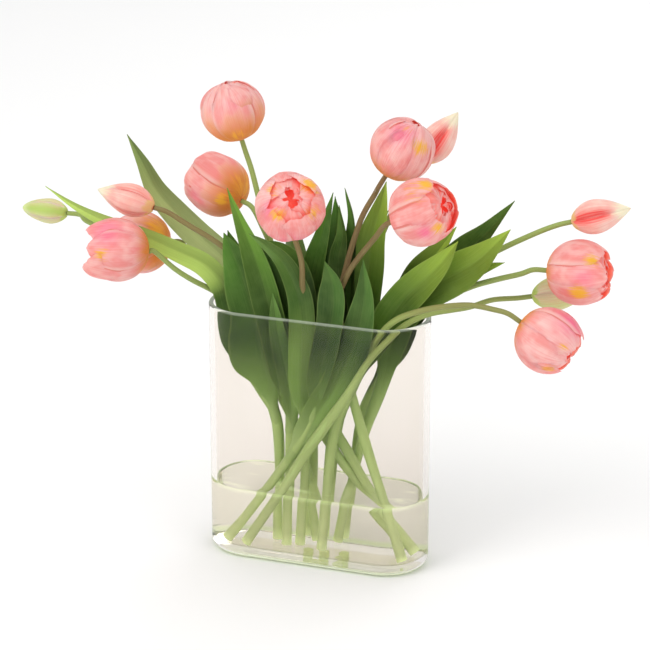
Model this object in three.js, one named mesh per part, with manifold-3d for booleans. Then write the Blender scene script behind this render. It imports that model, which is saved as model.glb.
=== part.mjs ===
// Fourteen tulips in a clear glass vase with an oval plan: nine double blooms and five buds.
// Millimetres, +Z up. The origin is the middle of the vase's underside.
// X runs along the vase's long side and +Y to its back.
// Each tulip is a leafy stem, fused with its leaves, and a head that sits on the stem's end.

import * as THREE from "three";
import Module from "manifold-3d";
import { mergeVertices } from "three/addons/utils/BufferGeometryUtils.js";

const wasm = await Module();
wasm.setup();

// Space left between two pieces that touch
const GAP = 0.3;

// The vase: a plan with full round ends, upright walls and a rounded heel and lip
const VASE_WIDTH = 200;
const VASE_DEPTH = 78;
const VASE_HEIGHT = 230;
const WALL = 4.5;
const FLOOR = 9;
const HEEL_RADIUS = 7.5;
const INNER_HEEL = 3;
const END_STEPS = 10;

// The water in it
const WATER_LEVEL = 64;
const HOLE_CLEARANCE = 0.35;

// A tulip's stem, leaves and heads
const FOOT_RADIUS = 4.0;
const NECK_RADIUS = 2.6;
const STEM_SIDES = 6;
const SPAN_STEPS = 1.2;
const NECK_STRAIGHT = 13;
const LEAF_THICKNESS = 1.0;
const SHEATH_WIDTH = 9;
const TIP_WIDTH = 1.4;
const PETAL_THICKNESS = 1.0;
const BLOOM_RADIUS = 26.5;
const BLOOM_HEIGHT = 47;
const TIP_RISE = 3;
const ROUND_STEP = 4;
const ROUND_LIFT = 2.4;
const BUD_RADIUS = 14.2;
const BUD_LENGTH = 52;
const BUD_FOLD = 1.8;
const WIDE_LEAF = 31;
const LEAF_STEPS = 7;

const FOOT_Z = FLOOR + GAP;

// Each tulip from its foot to the base of its head, with the way the head faces.
// The stems cross between the water and the mouth, each in a lane of its own.
const TULIPS = [
  {
    id: "01", head: "bloom", facing: [-0.27, -0.1, 0.958], turn: 0.93, open: 0.05,
    route: [[-25, -12, FOOT_Z], [-25, -5, 100], [-28, 9, 150], [-32, 12, 200], [-38, 6, 245],
      [-44, 2, 280], [-54, 1, 318], [-62, 2, 347], [-71.5, 2, 375]],
    leaves: [
      { width: 27, widest: 0.5, face: [[0.3, -1, 0.1], [-0.2, -1, 0.4]], cup: 0.18,
        route: [[-25, -5, 108], [-24, -10.5, 134], [-27, -14.5, 163], [-32, -16, 196], [-38, -19, 226],
          [-45, -20, 255], [-54, -20, 282], [-65, -18, 306], [-78, -16, 335]] },
      { width: 16, widest: 0.6, face: [[0.2, -1, 0.1], [0.2, -1, 0.3]], cup: 0.1,
        route: [[-25, -6, 108], [-21, -12, 130], [-22, -17, 160], [-27, -21, 194], [-31, -24, 222],
          [-34, -24, 247]] },
    ],
  },
  {
    id: "02", head: "bloom", facing: [-0.889, 0.266, 0.334], turn: 1.52, open: 1,
    route: [[-14, 21, FOOT_Z], [-14, 22, 100], [-27, 24, 170], [-40, 26, 230], [-50, 27, 262],
      [-62, 29, 286], [-86, 38, 307]],
    leaves: [
      { width: 22, widest: 0.5, face: [[0, -1, 0], [0.4, -1, 0.2]], cup: 0.2,
        route: [[-16, 22, 112], [-14, 17, 140], [-14, 14, 184], [-13, 8, 233], [-7, 5, 267],
          [2, 3, 298], [12, 2, 335]] },
      { width: 30, widest: 0.55, face: [[0, 1, 0], [0.1, 1, 0.6]], cup: 0.1,
        route: [[-18, 23, 130], [-23, 26, 170], [-27, 27, 215], [-31, 29, 235], [-38, 40, 262],
          [-48, 56, 284], [-60, 76, 298]] },
    ],
  },
  {
    id: "03", head: "bloom", facing: [0.315, -0.746, 0.558], turn: 0.2, open: 0.55,
    route: [[-14, -6, FOOT_Z], [-9, -9, 100], [-8, -9, 165], [-8, -12, 200], [-8, -17, 233],
      [-6, -26, 259], [-3, -38, 287], [-7, -56, 329]],
    leaves: [
      { width: 23, widest: 0.5, face: [[0.1, -1, 0], [0.9, -0.6, 0.9]], cup: 0.14,
        route: [[-9, -9, 112], [-11, -12, 130], [-12, -16, 155], [-9, -21, 198], [-8, -23.5, 227],
          [-10, -29, 253], [-21, -33, 279], [-38, -30, 292], [-54, -28, 300]] },
      { width: 24, widest: 0.55, face: [[0, -1, 0], [-0.1, -1, 0.4]], cup: 0.16,
        route: [[-9, -8, 118], [-12, -8.5, 147], [-17, -8, 183], [-26, -8, 214], [-36, -8, 245],
          [-47, -9, 273], [-60, -10, 296]] },
      { width: 22, widest: 0.55, face: [[0, -1, 0], [0.3, -1, 0.7]], cup: 0.16,
        route: [[-9, -7, 130], [-8, -6, 165], [-10, -4, 211], [-11, -8, 244], [-17, -13, 269],
          [-29, -16, 284], [-46, -18, 292]] },
    ],
  },
  {
    id: "04", head: "bloom", facing: [0.484, 0.13, 0.864], turn: 0.5, open: 0.8,
    route: [[82, -17, FOOT_Z], [66, -15, 60], [46, -8, 112], [27, -2, 170], [20, -4, 230],
      [24, -3, 264], [37, 0, 312], [50, 1, 338], [63, -8, 359]],
    leaves: [
      { width: 16, widest: 0.55, face: [[0, -1, 0], [-0.3, -1, 0]], cup: 0.2,
        route: [[30, -3, 160], [24, 0, 203], [18, 2, 238], [16, 3, 272], [20, 3, 297],
          [17, 3, 324]] },
      { width: 14, widest: 0.5, face: [[0, -1, 0], [-0.8, -1, 0]], cup: 0.25,
        route: [[31, -3, 150], [29, 1, 200], [27, 4, 256], [28, 5, 287], [28, 5, 314],
          [21, 6, 339]] },
    ],
  },
  {
    id: "05", head: "bud", facing: [0.52, 0.2, 0.84], turn: 0.67, green: 0,
    route: [[0, 24, FOOT_Z], [8, 18, 95], [22, 20, 170], [31, 22, 230], [43, 25, 279],
      [57, 28, 315], [70, 31, 341], [82, 35, 360]],
    leaves: [
      { width: 29, widest: 0.55, face: [[0, -1, 0], [0.2, -1, 0]], cup: 0.2,
        route: [[12, 18, 112], [22, 17, 141], [29, 14, 190], [37, 13, 237], [40, 13, 265],
          [43, 13, 292], [50, 12, 319], [57, 10, 347]] },
      { width: 18, widest: 0.55, face: [[0, -1, 0], [0, -1, 0]], cup: 0.2,
        route: [[10, 18, 120], [9, 17, 148], [7, 14, 196], [4, 12, 243], [8, 12, 280],
          [12, 11, 306], [11, 10, 329]] },
      { width: 30, widest: 0.55, face: [[0, 1, 0], [-0.1, 1, 0.6]], cup: 0.1,
        route: [[14, 20, 130], [18, 25, 165], [21, 27, 210], [23, 29, 235], [26, 40, 260],
          [30, 55, 282], [38, 76, 300]] },
    ],
  },
  {
    id: "06", head: "bloom", facing: [0.866, -0.203, 0.439], turn: 1.24, open: 0.7,
    route: [[-77, -22, FOOT_Z], [-43, -22, 60], [-8, -21, 115], [5, -19, 150], [11, -18, 185],
      [17, -18, 230], [32, -23, 268], [44, -27, 288], [62, -36, 311], [88, -55, 335]],
    leaves: [
      { width: 29, widest: 0.55, face: [[0.1, -1, 0], [0.1, -1, 0.1]], cup: 0.06,
        route: [[-24, -22, 90], [-10, -22, 112], [7, -23, 141], [24, -23, 169], [39, -23, 205],
          [46, -26, 230], [51, -30, 258], [51, -33, 290]] },
      { width: 27, widest: 0.7, face: [[0, -1, 0], [-0.3, -1, 0.2]], cup: 0.14,
        route: [[0, -20, 130], [3, -23, 150], [8, -25, 173], [16, -25, 207], [21, -27, 235],
          [22, -28, 262], [15, -28, 283]] },
    ],
  },
  {
    id: "07", head: "bud", facing: [0.947, 0, 0.322], turn: 0.27, green: 0,
    route: [[18, 26, FOOT_Z], [29, 27, 115], [52, 24, 170], [78, 16, 230], [104, 11, 256],
      [132, 11, 280], [160, 13, 298], [190, 14, 315], [219, 15, 327]],
    leaves: [
      { width: 27, widest: 0.6, face: [[0, -1, 0], [-0.2, -1, 0.7]], cup: 0.2,
        route: [[38, 26, 140], [58, 22, 185], [79, 19, 228], [96, 18, 253], [111, 17, 273],
          [127, 17, 291], [145, 17, 310], [168, 18, 339]] },
      { width: 24, widest: 0.6, face: [[0, -1, 0], [0, -1, 0.5]], cup: 0.2,
        route: [[34, 27, 130], [50, 26, 180], [66, 24, 228], [75, 24, 248], [85, 24, 266],
          [99, 25, 285], [115, 26, 308]] },
    ],
  },
  {
    id: "08", head: "bloom", facing: [0.983, 0.129, 0.021], turn: 1.35, open: 0.95,
    route: [[16, 13, FOOT_Z], [25, 14, 60], [38, 14, 115], [60, 8, 170], [84, 4, 228],
      [112, 5, 250], [137, 1, 265], [160, -2, 275], [180, -2, 282], [204, -3, 288]],
    leaves: [
      { width: 38, widest: 0.6, face: [[0, -1, 0.1], [-0.2, -1, 0.35]], cup: 0.08,
        route: [[36, 13, 112], [46, 7, 145], [58, 2, 180], [66, 0, 205], [72, 0, 228],
          [83, 0, 247], [101, 0, 262], [124, -2, 276], [142, -6, 290], [156, -7, 304],
          [172, -8, 322]] },
      { width: 12, widest: 0.5, face: [[0, -1, 0], [0, -1, 0.8]], cup: 0.15,
        route: [[92, 3, 238], [107, 4, 252], [129, 3, 270], [147, 3, 281], [164, 5, 288]] },
    ],
  },
  {
    id: "09", head: "bloom", facing: [0.878, -0.088, -0.449], turn: 0.43, open: 0.7,
    route: [[8, -12, FOOT_Z], [17, -13, 115], [32, -15, 158], [46, -16, 190], [63, -22, 220],
      [79, -31, 238], [98, -35, 249], [120, -37, 257], [147, -40, 263], [170, -44, 263],
      [194, -48, 256]],
    leaves: [
      { width: 30, widest: 0.6, face: [[0, -1, 0.1], [-0.1, -1, 0.2]], cup: 0.1,
        route: [[30, -15, 150], [42, -11, 180], [55, -8, 207], [66, -7, 229], [79, -7, 249],
          [95, -8, 267], [112, -9, 286], [127, -9, 307]] },
    ],
  },
  {
    id: "10", head: "bud", facing: [0.975, 0.11, 0.2], turn: 0.2, green: 0.6,
    route: [[-59, -26, FOOT_Z], [-21, -30, 72], [0, -30, 108], [34, -30, 161], [54, -29, 196],
      [68, -25, 214], [80, -19, 227], [94, -16, 237], [108, -15, 243], [123, -14, 247],
      [137, -3, 248], [152, 12, 251], [184, 24, 254]],
    leaves: [],
  },
  {
    id: "11", head: "bloom", facing: [-0.89, -0.395, 0.081], turn: 1.28, open: 0.9, neck: 5,
    route: [[72, 14, FOOT_Z], [40, 8, 60], [20, 1, 90], [2, 1, 115], [-23, -1, 150],
      [-38, -4, 170], [-58, -5, 200], [-79, -5, 226], [-95, -8, 237], [-109, -22, 250],
      [-122, -31, 262], [-141, -42, 279]],
    leaves: [],
  },
  {
    id: "12", head: "bloom", facing: [-0.974, 0.056, -0.136], turn: 0.78, open: 0.7,
    route: [[-2, 8, FOOT_Z], [-12, 12, 60], [-28, 12, 115], [-45, 13, 150], [-56, 15, 175],
      [-80, 17, 222], [-98, 18, 243], [-114, 19, 255], [-130, 20, 262], [-150, 21, 267]],
    leaves: [
      { width: 25, widest: 0.6, face: [[0, -1, 0.1], [0.3, -1, 0.5]], cup: 0.12,
        route: [[-30, 13, 118], [-44, 18, 150], [-57, 22, 190], [-67, 23, 222], [-84, 24, 246],
          [-104, 24, 262], [-124, 23, 278], [-142, 20, 296], [-158, 18, 315], [-170, 17, 339],
          [-184, 16, 364]] },
      { width: 22, widest: 0.6, face: [[0, -1, 0], [0, -1, 0.2]], cup: 0.18,
        route: [[-42, 13, 145], [-54, 10, 195], [-64, 7, 230], [-77, 7, 262], [-87, 7, 289]] },
    ],
  },
  {
    id: "13", head: "bud", facing: [-0.963, -0.1, 0.246], turn: 1.82, green: 0.15,
    route: [[86, 1, FOOT_Z], [50, 2, 60], [14, 4, 115], [-8, 3, 148], [-20, 2, 170],
      [-35, 0, 200], [-50, -3, 232], [-68, -7, 264], [-90, -11, 283], [-115, -14, 297],
      [-146, -18, 311]],
    leaves: [],
  },
  {
    id: "14", head: "bud", facing: [-1, 0, 0.02], turn: 1.94, green: 1, size: 0.86,
    route: [[-37, 0, FOOT_Z], [-38, -2, 115], [-53, -1, 150], [-62, 0, 170], [-84, 4, 222],
      [-100, 2, 243], [-118, -5, 257], [-143, -9, 269], [-170, -9, 277], [-198, -3, 281],
      [-222, 8, 283], [-246, 20, 284]],
    leaves: [
      { width: 38, widest: 0.6, face: [[0, -1, 0], [0, -1, 0.2]], cup: 0.1,
        route: [[-38, -3, 112], [-42, -8, 147], [-50, -11, 189], [-59, -14, 232], [-69, -15, 265],
          [-82, -15, 294]] },
      { width: 22, widest: 0.45, face: [[0.2, -1, 0], [0, -1, 0.15]], cup: 0.12,
        route: [[-40, -2, 118], [-51, -6, 141], [-64, -9, 163], [-74, -11, 186], [-78, -11, 207],
          [-80, -12, 230], [-85, -14, 247], [-102, -10, 261], [-127, -11, 271], [-161, -15, 284],
          [-196, -12, 292], [-225, -8, 301], [-255, -4, 315]] },
    ],
  },
];

// Colours and finishes
const COLOURS = {
  glass: { color: 0xe9eee6, roughness: 0.05, metalness: 0 },
  water: { color: 0xdfe6d2, roughness: 0.02, metalness: 0 },
  leaf: { color: 0x4f7a33, roughness: 0.5, metalness: 0 },
  bloom: { color: 0xf59a94, roughness: 0.6, metalness: 0 },
  pinkBud: { color: 0xf7b4a8, roughness: 0.6, metalness: 0 },
  greenBud: { color: 0xd3df9a, roughness: 0.6, metalness: 0 },
};

const vec = (p) => new THREE.Vector3(...p);

// A smooth curve through a route's points.
function curveThrough(points) {
  return new THREE.CatmullRomCurve3(points, false, "catmullrom", 0.5);
}

// A closed solid from corner points and triangles, turned so that its faces point out.
function solidOf(points, triangles) {
  let volume = 0;
  for (const [a, b, c] of triangles) {
    volume += points[a].dot(points[b].clone().cross(points[c]));
  }
  const faces = volume > 0 ? triangles : triangles.map(([a, b, c]) => [a, c, b]);
  const geometry = new THREE.BufferGeometry();
  geometry.setAttribute("position", new THREE.Float32BufferAttribute(points.flatMap((p) => p.toArray()), 3));
  geometry.setIndex(faces.flat());
  const merged = mergeVertices(geometry, 1e-4);
  return new wasm.Manifold(new wasm.Mesh({
    numProp: 3,
    vertProperties: new Float32Array(merged.attributes.position.array),
    triVerts: new Uint32Array(merged.index.array),
  }));
}

// A body through a row of rings with equal numbers of points, with a flat cap at each end.
function loft(rings) {
  const count = rings[0].length;
  const points = rings.flat();
  const triangles = [];
  for (let i = 0; i + 1 < rings.length; i += 1) {
    for (let j = 0; j < count; j += 1) {
      const a = i * count + j;
      const b = i * count + (j + 1) % count;
      triangles.push([a, b, b + count], [a, b + count, a + count]);
    }
  }
  const last = (rings.length - 1) * count;
  for (let j = 1; j + 1 < count; j += 1) {
    triangles.push([0, j + 1, j], [last, last + j, last + j + 1]);
  }
  return solidOf(points, triangles);
}

// A thin closed sheet about a grid of points: both faces are split along the same diagonals.
function sheet(grid, thickness) {
  const rows = grid.length;
  const columns = grid[0].length;
  const at = (i, j) => grid[Math.min(Math.max(i, 0), rows - 1)][Math.min(Math.max(j, 0), columns - 1)];
  const front = [];
  const back = [];
  for (let i = 0; i < rows; i += 1) {
    for (let j = 0; j < columns; j += 1) {
      const along = at(i + 1, j).clone().sub(at(i - 1, j));
      const across = at(i, j + 1).clone().sub(at(i, j - 1));
      const normal = across.cross(along).normalize().multiplyScalar(thickness / 2);
      front.push(at(i, j).clone().add(normal));
      back.push(at(i, j).clone().sub(normal));
    }
  }
  const size = rows * columns;
  const triangles = [];
  for (let i = 0; i + 1 < rows; i += 1) {
    for (let j = 0; j + 1 < columns; j += 1) {
      const a = i * columns + j;
      const b = a + 1;
      const c = b + columns;
      const d = a + columns;
      triangles.push([a, b, c], [a, c, d]);
      triangles.push([size + a, size + c, size + b], [size + a, size + d, size + c]);
    }
  }
  const border = [];
  for (let j = 0; j + 1 < columns; j += 1) border.push(j);
  for (let i = 0; i + 1 < rows; i += 1) border.push(i * columns + columns - 1);
  for (let j = columns - 1; j > 0; j -= 1) border.push((rows - 1) * columns + j);
  for (let i = rows - 1; i > 0; i -= 1) border.push(i * columns);
  border.forEach((a, k) => {
    const b = border[(k + 1) % border.length];
    triangles.push([b, a, size + a], [b, size + a, size + b]);
  });
  return solidOf([...front, ...back], triangles);
}

// Joins solids into one body: sealed hollows are filled and loose scraps dropped.
function fuse(solids) {
  const whole = solids.reduce((sum, next) => sum.add(next));
  const bodies = whole.decompose();
  return bodies.reduce((best, next) => (next.volume() > best.volume() ? next : best));
}

// A round stem along its route, thicker at the foot.
function stemSolid(route, extra = 0) {
  const curve = curveThrough(route);
  const steps = Math.round((route.length - 1) * SPAN_STEPS);
  const rings = [];
  let side = new THREE.Vector3(1, 0, 0);
  for (let i = 0; i <= steps; i += 1) {
    const t = i / steps;
    const centre = curve.getPoint(t);
    const tangent = curve.getTangent(t);
    side = side.clone().addScaledVector(tangent, -side.dot(tangent)).normalize();
    const other = tangent.clone().cross(side);
    const radius = THREE.MathUtils.lerp(FOOT_RADIUS, NECK_RADIUS, Math.sqrt(t)) + extra;
    const ring = [];
    for (let j = 0; j < STEM_SIDES; j += 1) {
      const angle = (2 * Math.PI * j) / STEM_SIDES;
      ring.push(centre.clone()
        .addScaledVector(side, radius * Math.cos(angle))
        .addScaledVector(other, radius * Math.sin(angle)));
    }
    rings.push(ring);
  }
  return loft(rings);
}

// How wide a leaf is at t along it, as a share of its full width: a narrow sheath, a broad
// middle and a long point.
function leafShare(t, widest, sheath) {
  if (t < widest) {
    const rise = Math.sin((Math.PI / 2) * (t / widest));
    return sheath + (1 - sheath) * rise * rise;
  }
  const fall = (t - widest) / (1 - widest);
  return 1 - fall ** 2;
}

// A leaf blade along its route, hollowed along the midrib and turned from its first face to
// its last.
function leafSolid(leaf) {
  const points = leaf.route.map(vec);
  const curve = curveThrough(points);
  const steps = Math.max(LEAF_STEPS, points.length);
  const cells = leaf.width > WIDE_LEAF ? 4 : 2;
  const grid = [];
  for (let i = 0; i <= steps; i += 1) {
    const t = i / steps;
    const centre = curve.getPoint(t);
    const tangent = curve.getTangent(t);
    const face = vec(leaf.face[0]).lerp(vec(leaf.face[1]), t);
    const side = tangent.clone().cross(face).normalize();
    const normal = side.clone().cross(tangent).normalize();
    const half = Math.max(leaf.width * leafShare(t, leaf.widest, SHEATH_WIDTH / leaf.width), TIP_WIDTH) / 2;
    const row = [];
    for (let j = 0; j <= cells; j += 1) {
      const s = (2 * j) / cells - 1;
      row.push(centre.clone()
        .addScaledVector(side, s * half)
        .addScaledVector(normal, leaf.cup * half * (2 * Math.abs(s) ** 1.5 - 0.6)));
    }
    grid.push(row);
  }
  return sheet(grid, LEAF_THICKNESS);
}

// How far a globe's surface stands from its axis at a polar angle counted from its base.
function globeReach(radius, polar) {
  return radius * Math.sin(polar) ** 0.9;
}

// One petal on a globe about +Z. Its root is sunk towards the axis, then it bulges out and
// closes in towards the top. One side edge lies outside its neighbour and the other inside.
// The tip stays at the same height, however far the petal opens.
function petalSolid({ radius, height, lift, root, close, azimuth, spread, rows, columns }) {
  const lap = 0.6;
  const sink = 3.5;
  const grid = [];
  for (let i = 0; i <= rows; i += 1) {
    const s = i / rows;
    const polar = THREE.MathUtils.lerp(root, close, s);
    const share = s < 0.5
      ? 0.55 + 0.45 * Math.sin(Math.PI * s)
      : Math.max(Math.sqrt(1 - (2 * s - 1) ** 2.8), 0.3);
    const row = [];
    for (let j = 0; j <= columns; j += 1) {
      const a = (2 * j) / columns - 1;
      const reach = globeReach(radius, polar) + lap * a - (i === 0 ? sink : 0);
      const angle = azimuth + spread * share * a;
      const rounding = (1 - a * a) * TIP_RISE * s ** 4;
      const climb = (1 - Math.cos(polar)) / (1 - Math.cos(close));
      const z = lift + height * climb + rounding;
      row.push(new THREE.Vector3(reach * Math.cos(angle), reach * Math.sin(angle), z));
    }
    grid.push(row);
  }
  return sheet(grid, PETAL_THICKNESS);
}

// A round body about +Z from a profile of [reach, height] pairs.
function turnedSolid(profile, sides) {
  return loft(profile.map(([reach, z]) => {
    const ring = [];
    for (let j = 0; j < sides; j += 1) {
      const angle = (2 * Math.PI * j) / sides;
      ring.push(new THREE.Vector3(reach * Math.cos(angle), reach * Math.sin(angle), z));
    }
    return ring;
  }));
}

// A double bloom: two rounds of three broad petals, a round of inner ones and a core. The
// core's bowl holds every petal's root.
function bloomSolid(open, turn) {
  const core = [[3.4, 0], [13, 2.6], [18.6, 7.4], [17.5, 10.5], [12.5, 14], [11, 31], [4, 36]];
  const parts = [turnedSolid(core, 8)];
  const rounds = [
    { count: 3, steps: 0, root: 0.58, close: 2.66 - 0.5 * open, spread: 1.0, shift: 0, rows: 4, columns: 3 },
    { count: 3, steps: 1, root: 0.72, close: 2.7 - 0.45 * open, spread: 0.98, shift: 1, rows: 4, columns: 2 },
    { count: 3, steps: 2.2, root: 0.95, close: 2.6 - 0.25 * open, spread: 0.9, shift: 0.3, rows: 3, columns: 2 },
  ];
  for (const round of rounds) {
    for (let k = 0; k < round.count; k += 1) {
      parts.push(petalSolid({
        ...round,
        radius: BLOOM_RADIUS - round.steps * ROUND_STEP,
        height: BLOOM_HEIGHT - round.steps * ROUND_STEP,
        lift: round.steps * ROUND_LIFT,
        azimuth: turn + round.shift * (Math.PI / 3) + (2 * Math.PI * k) / round.count,
      }));
    }
  }
  return fuse(parts);
}

// A bud: a pointed egg whose three petals are raised from it. Each petal starts under its
// neighbour's edge and ends over the next one's.
function budSolid(turn, size) {
  const rows = 7;
  const sides = 12;
  const rings = [];
  for (let i = 0; i <= rows; i += 1) {
    const s = i / rows;
    const belly = Math.sin(Math.PI * Math.min(0.07 + 0.88 * s ** 0.8, 0.985));
    const z = BUD_LENGTH * size * s;
    const ring = [];
    for (let j = 0; j < sides; j += 1) {
      const angle = turn + (2 * Math.PI * j) / sides;
      const within = (j % 4) / 3;
      const reach = (BUD_RADIUS - BUD_FOLD * (1 - within)) * size * belly;
      ring.push(new THREE.Vector3(reach * Math.cos(angle), reach * Math.sin(angle), z));
    }
    rings.push(ring);
  }
  return loft(rings);
}

// The outline of the vase's plan drawn in by an inset, at one height.
function planRing(inset, z) {
  const radius = VASE_DEPTH / 2 - inset;
  const straight = (VASE_WIDTH - VASE_DEPTH) / 2;
  const ring = [];
  for (const end of [1, -1]) {
    for (let i = 0; i <= END_STEPS; i += 1) {
      const angle = -Math.PI / 2 + (Math.PI * i) / END_STEPS;
      ring.push(new THREE.Vector3(end * (straight + radius * Math.cos(angle)), end * radius * Math.sin(angle), z));
    }
  }
  return ring;
}

// The vase's wall, rounded at the heel and at the lip, in one skin from foot to inner floor.
function vaseSolid() {
  const rings = [];
  for (const angle of [0, 30, 60, 90]) {
    const turn = THREE.MathUtils.degToRad(angle);
    rings.push(planRing(HEEL_RADIUS * (1 - Math.sin(turn)), HEEL_RADIUS * (1 - Math.cos(turn))));
  }
  const lip = WALL / 2;
  for (const angle of [0, 45, 90, 135, 180]) {
    const turn = THREE.MathUtils.degToRad(angle);
    rings.push(planRing(lip * (1 - Math.cos(turn)), VASE_HEIGHT - lip + lip * Math.sin(turn)));
  }
  for (const angle of [0, 45, 90]) {
    const turn = THREE.MathUtils.degToRad(angle);
    rings.push(planRing(WALL + INNER_HEEL * (1 - Math.cos(turn)), FLOOR + INNER_HEEL * (1 - Math.sin(turn))));
  }
  return loft(rings);
}

// The water: the inside of the vase up to the water line, with a plain hole for each stem.
function waterSolid(stems) {
  const inset = WALL + GAP;
  const rings = [];
  for (const angle of [90, 45, 0]) {
    const turn = THREE.MathUtils.degToRad(angle);
    rings.push(planRing(inset + INNER_HEEL * (1 - Math.cos(turn)), FOOT_Z + INNER_HEEL * (1 - Math.sin(turn))));
  }
  rings.push(planRing(inset, WATER_LEVEL));
  return stems.reduce((water, stem) => water.subtract(stem), loft(rings));
}

// A named mesh from a solid.
function meshOf(name, solid, finish) {
  const data = solid.getMesh();
  const geometry = new THREE.BufferGeometry();
  geometry.setAttribute("position", new THREE.BufferAttribute(new Float32Array(data.vertProperties), 3));
  geometry.setIndex(new THREE.BufferAttribute(new Uint32Array(data.triVerts), 1));
  const mesh = new THREE.Mesh(geometry, new THREE.MeshStandardMaterial(finish));
  mesh.name = name;
  return mesh;
}

// A head turned so that its opening looks along its facing, with its base at a point.
function placeHead(mesh, base, facing) {
  mesh.position.copy(base);
  mesh.quaternion.setFromUnitVectors(new THREE.Vector3(0, 0, 1), facing);
  return mesh;
}

const group = new THREE.Group();
group.add(meshOf("vase", vaseSolid(), COLOURS.glass));

const holes = [];
for (const tulip of TULIPS) {
  const facing = vec(tulip.facing).normalize();
  const route = tulip.route.map(vec);
  const base = route.pop();
  const lean = route[1].clone().sub(route[0]).normalize();
  route[0].z += FOOT_RADIUS * Math.sqrt(1 - lean.z ** 2);
  route.push(base.clone().addScaledVector(facing, -(tulip.neck ?? NECK_STRAIGHT)));
  route.push(base.clone().addScaledVector(facing, -GAP));
  const stem = stemSolid(route);
  holes.push(stemSolid(route, HOLE_CLEARANCE));
  const leaves = tulip.leaves.map(leafSolid);
  group.add(meshOf(`leafy_stem_${tulip.id}`, fuse([stem, ...leaves]), COLOURS.leaf));
  if (tulip.head === "bloom") {
    const bloom = meshOf(`bloom_${tulip.id}`, bloomSolid(tulip.open, tulip.turn), COLOURS.bloom);
    group.add(placeHead(bloom, base, facing));
  } else {
    const finish = tulip.green > 0.5 ? COLOURS.greenBud : COLOURS.pinkBud;
    const bud = meshOf(`bud_${tulip.id}`, budSolid(tulip.turn, tulip.size ?? 1), finish);
    group.add(placeHead(bud, base, facing));
  }
}
group.add(meshOf("water", waterSolid(holes), COLOURS.water));

export default group;
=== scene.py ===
# %% [markdown]
# # Fourteen double tulips in a clear glass vase
#
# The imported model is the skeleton: it says where the vase, every stem, leaf and head is. Each cell below
# gives one of those pieces its living surface. All sizes are in millimetres until they become mesh
# points, because a tulip petal is easier to think about as 50 than as 0.05.

import bpy
import numpy as np
from mathutils import Matrix, Vector


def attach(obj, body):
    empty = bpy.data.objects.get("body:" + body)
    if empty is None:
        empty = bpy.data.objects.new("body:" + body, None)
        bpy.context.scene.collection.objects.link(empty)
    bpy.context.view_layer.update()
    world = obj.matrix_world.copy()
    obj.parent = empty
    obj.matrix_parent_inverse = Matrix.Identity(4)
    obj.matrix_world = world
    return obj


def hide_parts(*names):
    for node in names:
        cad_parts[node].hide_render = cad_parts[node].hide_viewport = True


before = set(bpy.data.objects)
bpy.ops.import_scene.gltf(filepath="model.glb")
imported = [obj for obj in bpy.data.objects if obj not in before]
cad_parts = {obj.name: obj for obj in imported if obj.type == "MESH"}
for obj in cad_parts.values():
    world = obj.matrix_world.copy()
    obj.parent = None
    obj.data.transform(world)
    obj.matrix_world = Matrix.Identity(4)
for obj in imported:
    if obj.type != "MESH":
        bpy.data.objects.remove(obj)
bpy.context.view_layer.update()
scene = bpy.context.scene
MM = 0.001

# %% [markdown]
# ## The camera
#
# The photograph was taken from a little above and to the right of the vase's front, from well back with
# a long lens, so near and far flowers keep almost the same scale. A long lens is also why the upright
# walls stay almost upright. The camera is made first, because every course below was read through it.

# %% Camera
AZIMUTH = np.radians(19.4)
ELEVATION = np.radians(19.9)
DISTANCE = 2427
AIM = np.array([5.3, 0.0, 214.7])
LENS, SENSOR, FARTHEST = 155, 36, 50

ahead = np.array([np.sin(AZIMUTH), -np.cos(AZIMUTH), 0.0])
towards = ahead * np.cos(ELEVATION) + np.array([0.0, 0.0, np.sin(ELEVATION)])
rightwards = np.array([np.cos(AZIMUTH), np.sin(AZIMUTH), 0.0])
upwards = np.cross(towards, rightwards)
place = (AIM + towards * DISTANCE) * MM


def placed(name, data):
    """A new object of the scene that holds some data."""
    made = bpy.data.objects.new(name, data)
    scene.collection.objects.link(made)
    return made


camera = placed("camera", bpy.data.cameras.new("camera"))
camera.data.lens = LENS
camera.data.sensor_width = SENSOR
camera.data.clip_end = FARTHEST
pose = np.column_stack([rightwards, upwards, towards, place])
camera.matrix_world = Matrix(np.vstack([pose, (0, 0, 0, 1)]).tolist())
scene.camera = camera
print("camera stands", DISTANCE, "mm away")

# %% [markdown]
# ## The courses of the stems and leaves
#
# Every tulip has a stem that runs from the vase's floor to its head, and most have one to three leaves
# that part from the stem above the water, nearly all of them inside the vase. A course is a short list
# of points with a smooth curve through them. The same courses drive the CAD solids, so the looks stay
# where they are. A leaf's `tint` names how it is coloured from its root to its tip: its darker belly
# is partly its own colour and partly painted shade deep in the bunch, and its lighter tip is partly
# painted light.
#
# A bloom's `open` says how far its mouth gapes, in radians, and below zero it is pressed shut. `slit` is
# the way its inner petals part, in degrees. A yellow or magenta spot lies at an azimuth and a polar
# angle, in degrees, with a breadth in millimetres and a strength. `lips` leans an outer petal's margin
# out and lifts it, in millimetres.

# %% Courses
FOOT_Z = 9.3


def strap(width, widest, root_face, tip_face, cup, tint, route, **more):
    """A leaf: its width and the share of its length where it is widest, the ways its face looks at the
    root and at the tip, how deep its trough is, its colours and its course."""
    return dict(width=width, widest=widest, face=(root_face, tip_face), cup=cup, tint=tint, route=route,
                **more)


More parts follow.
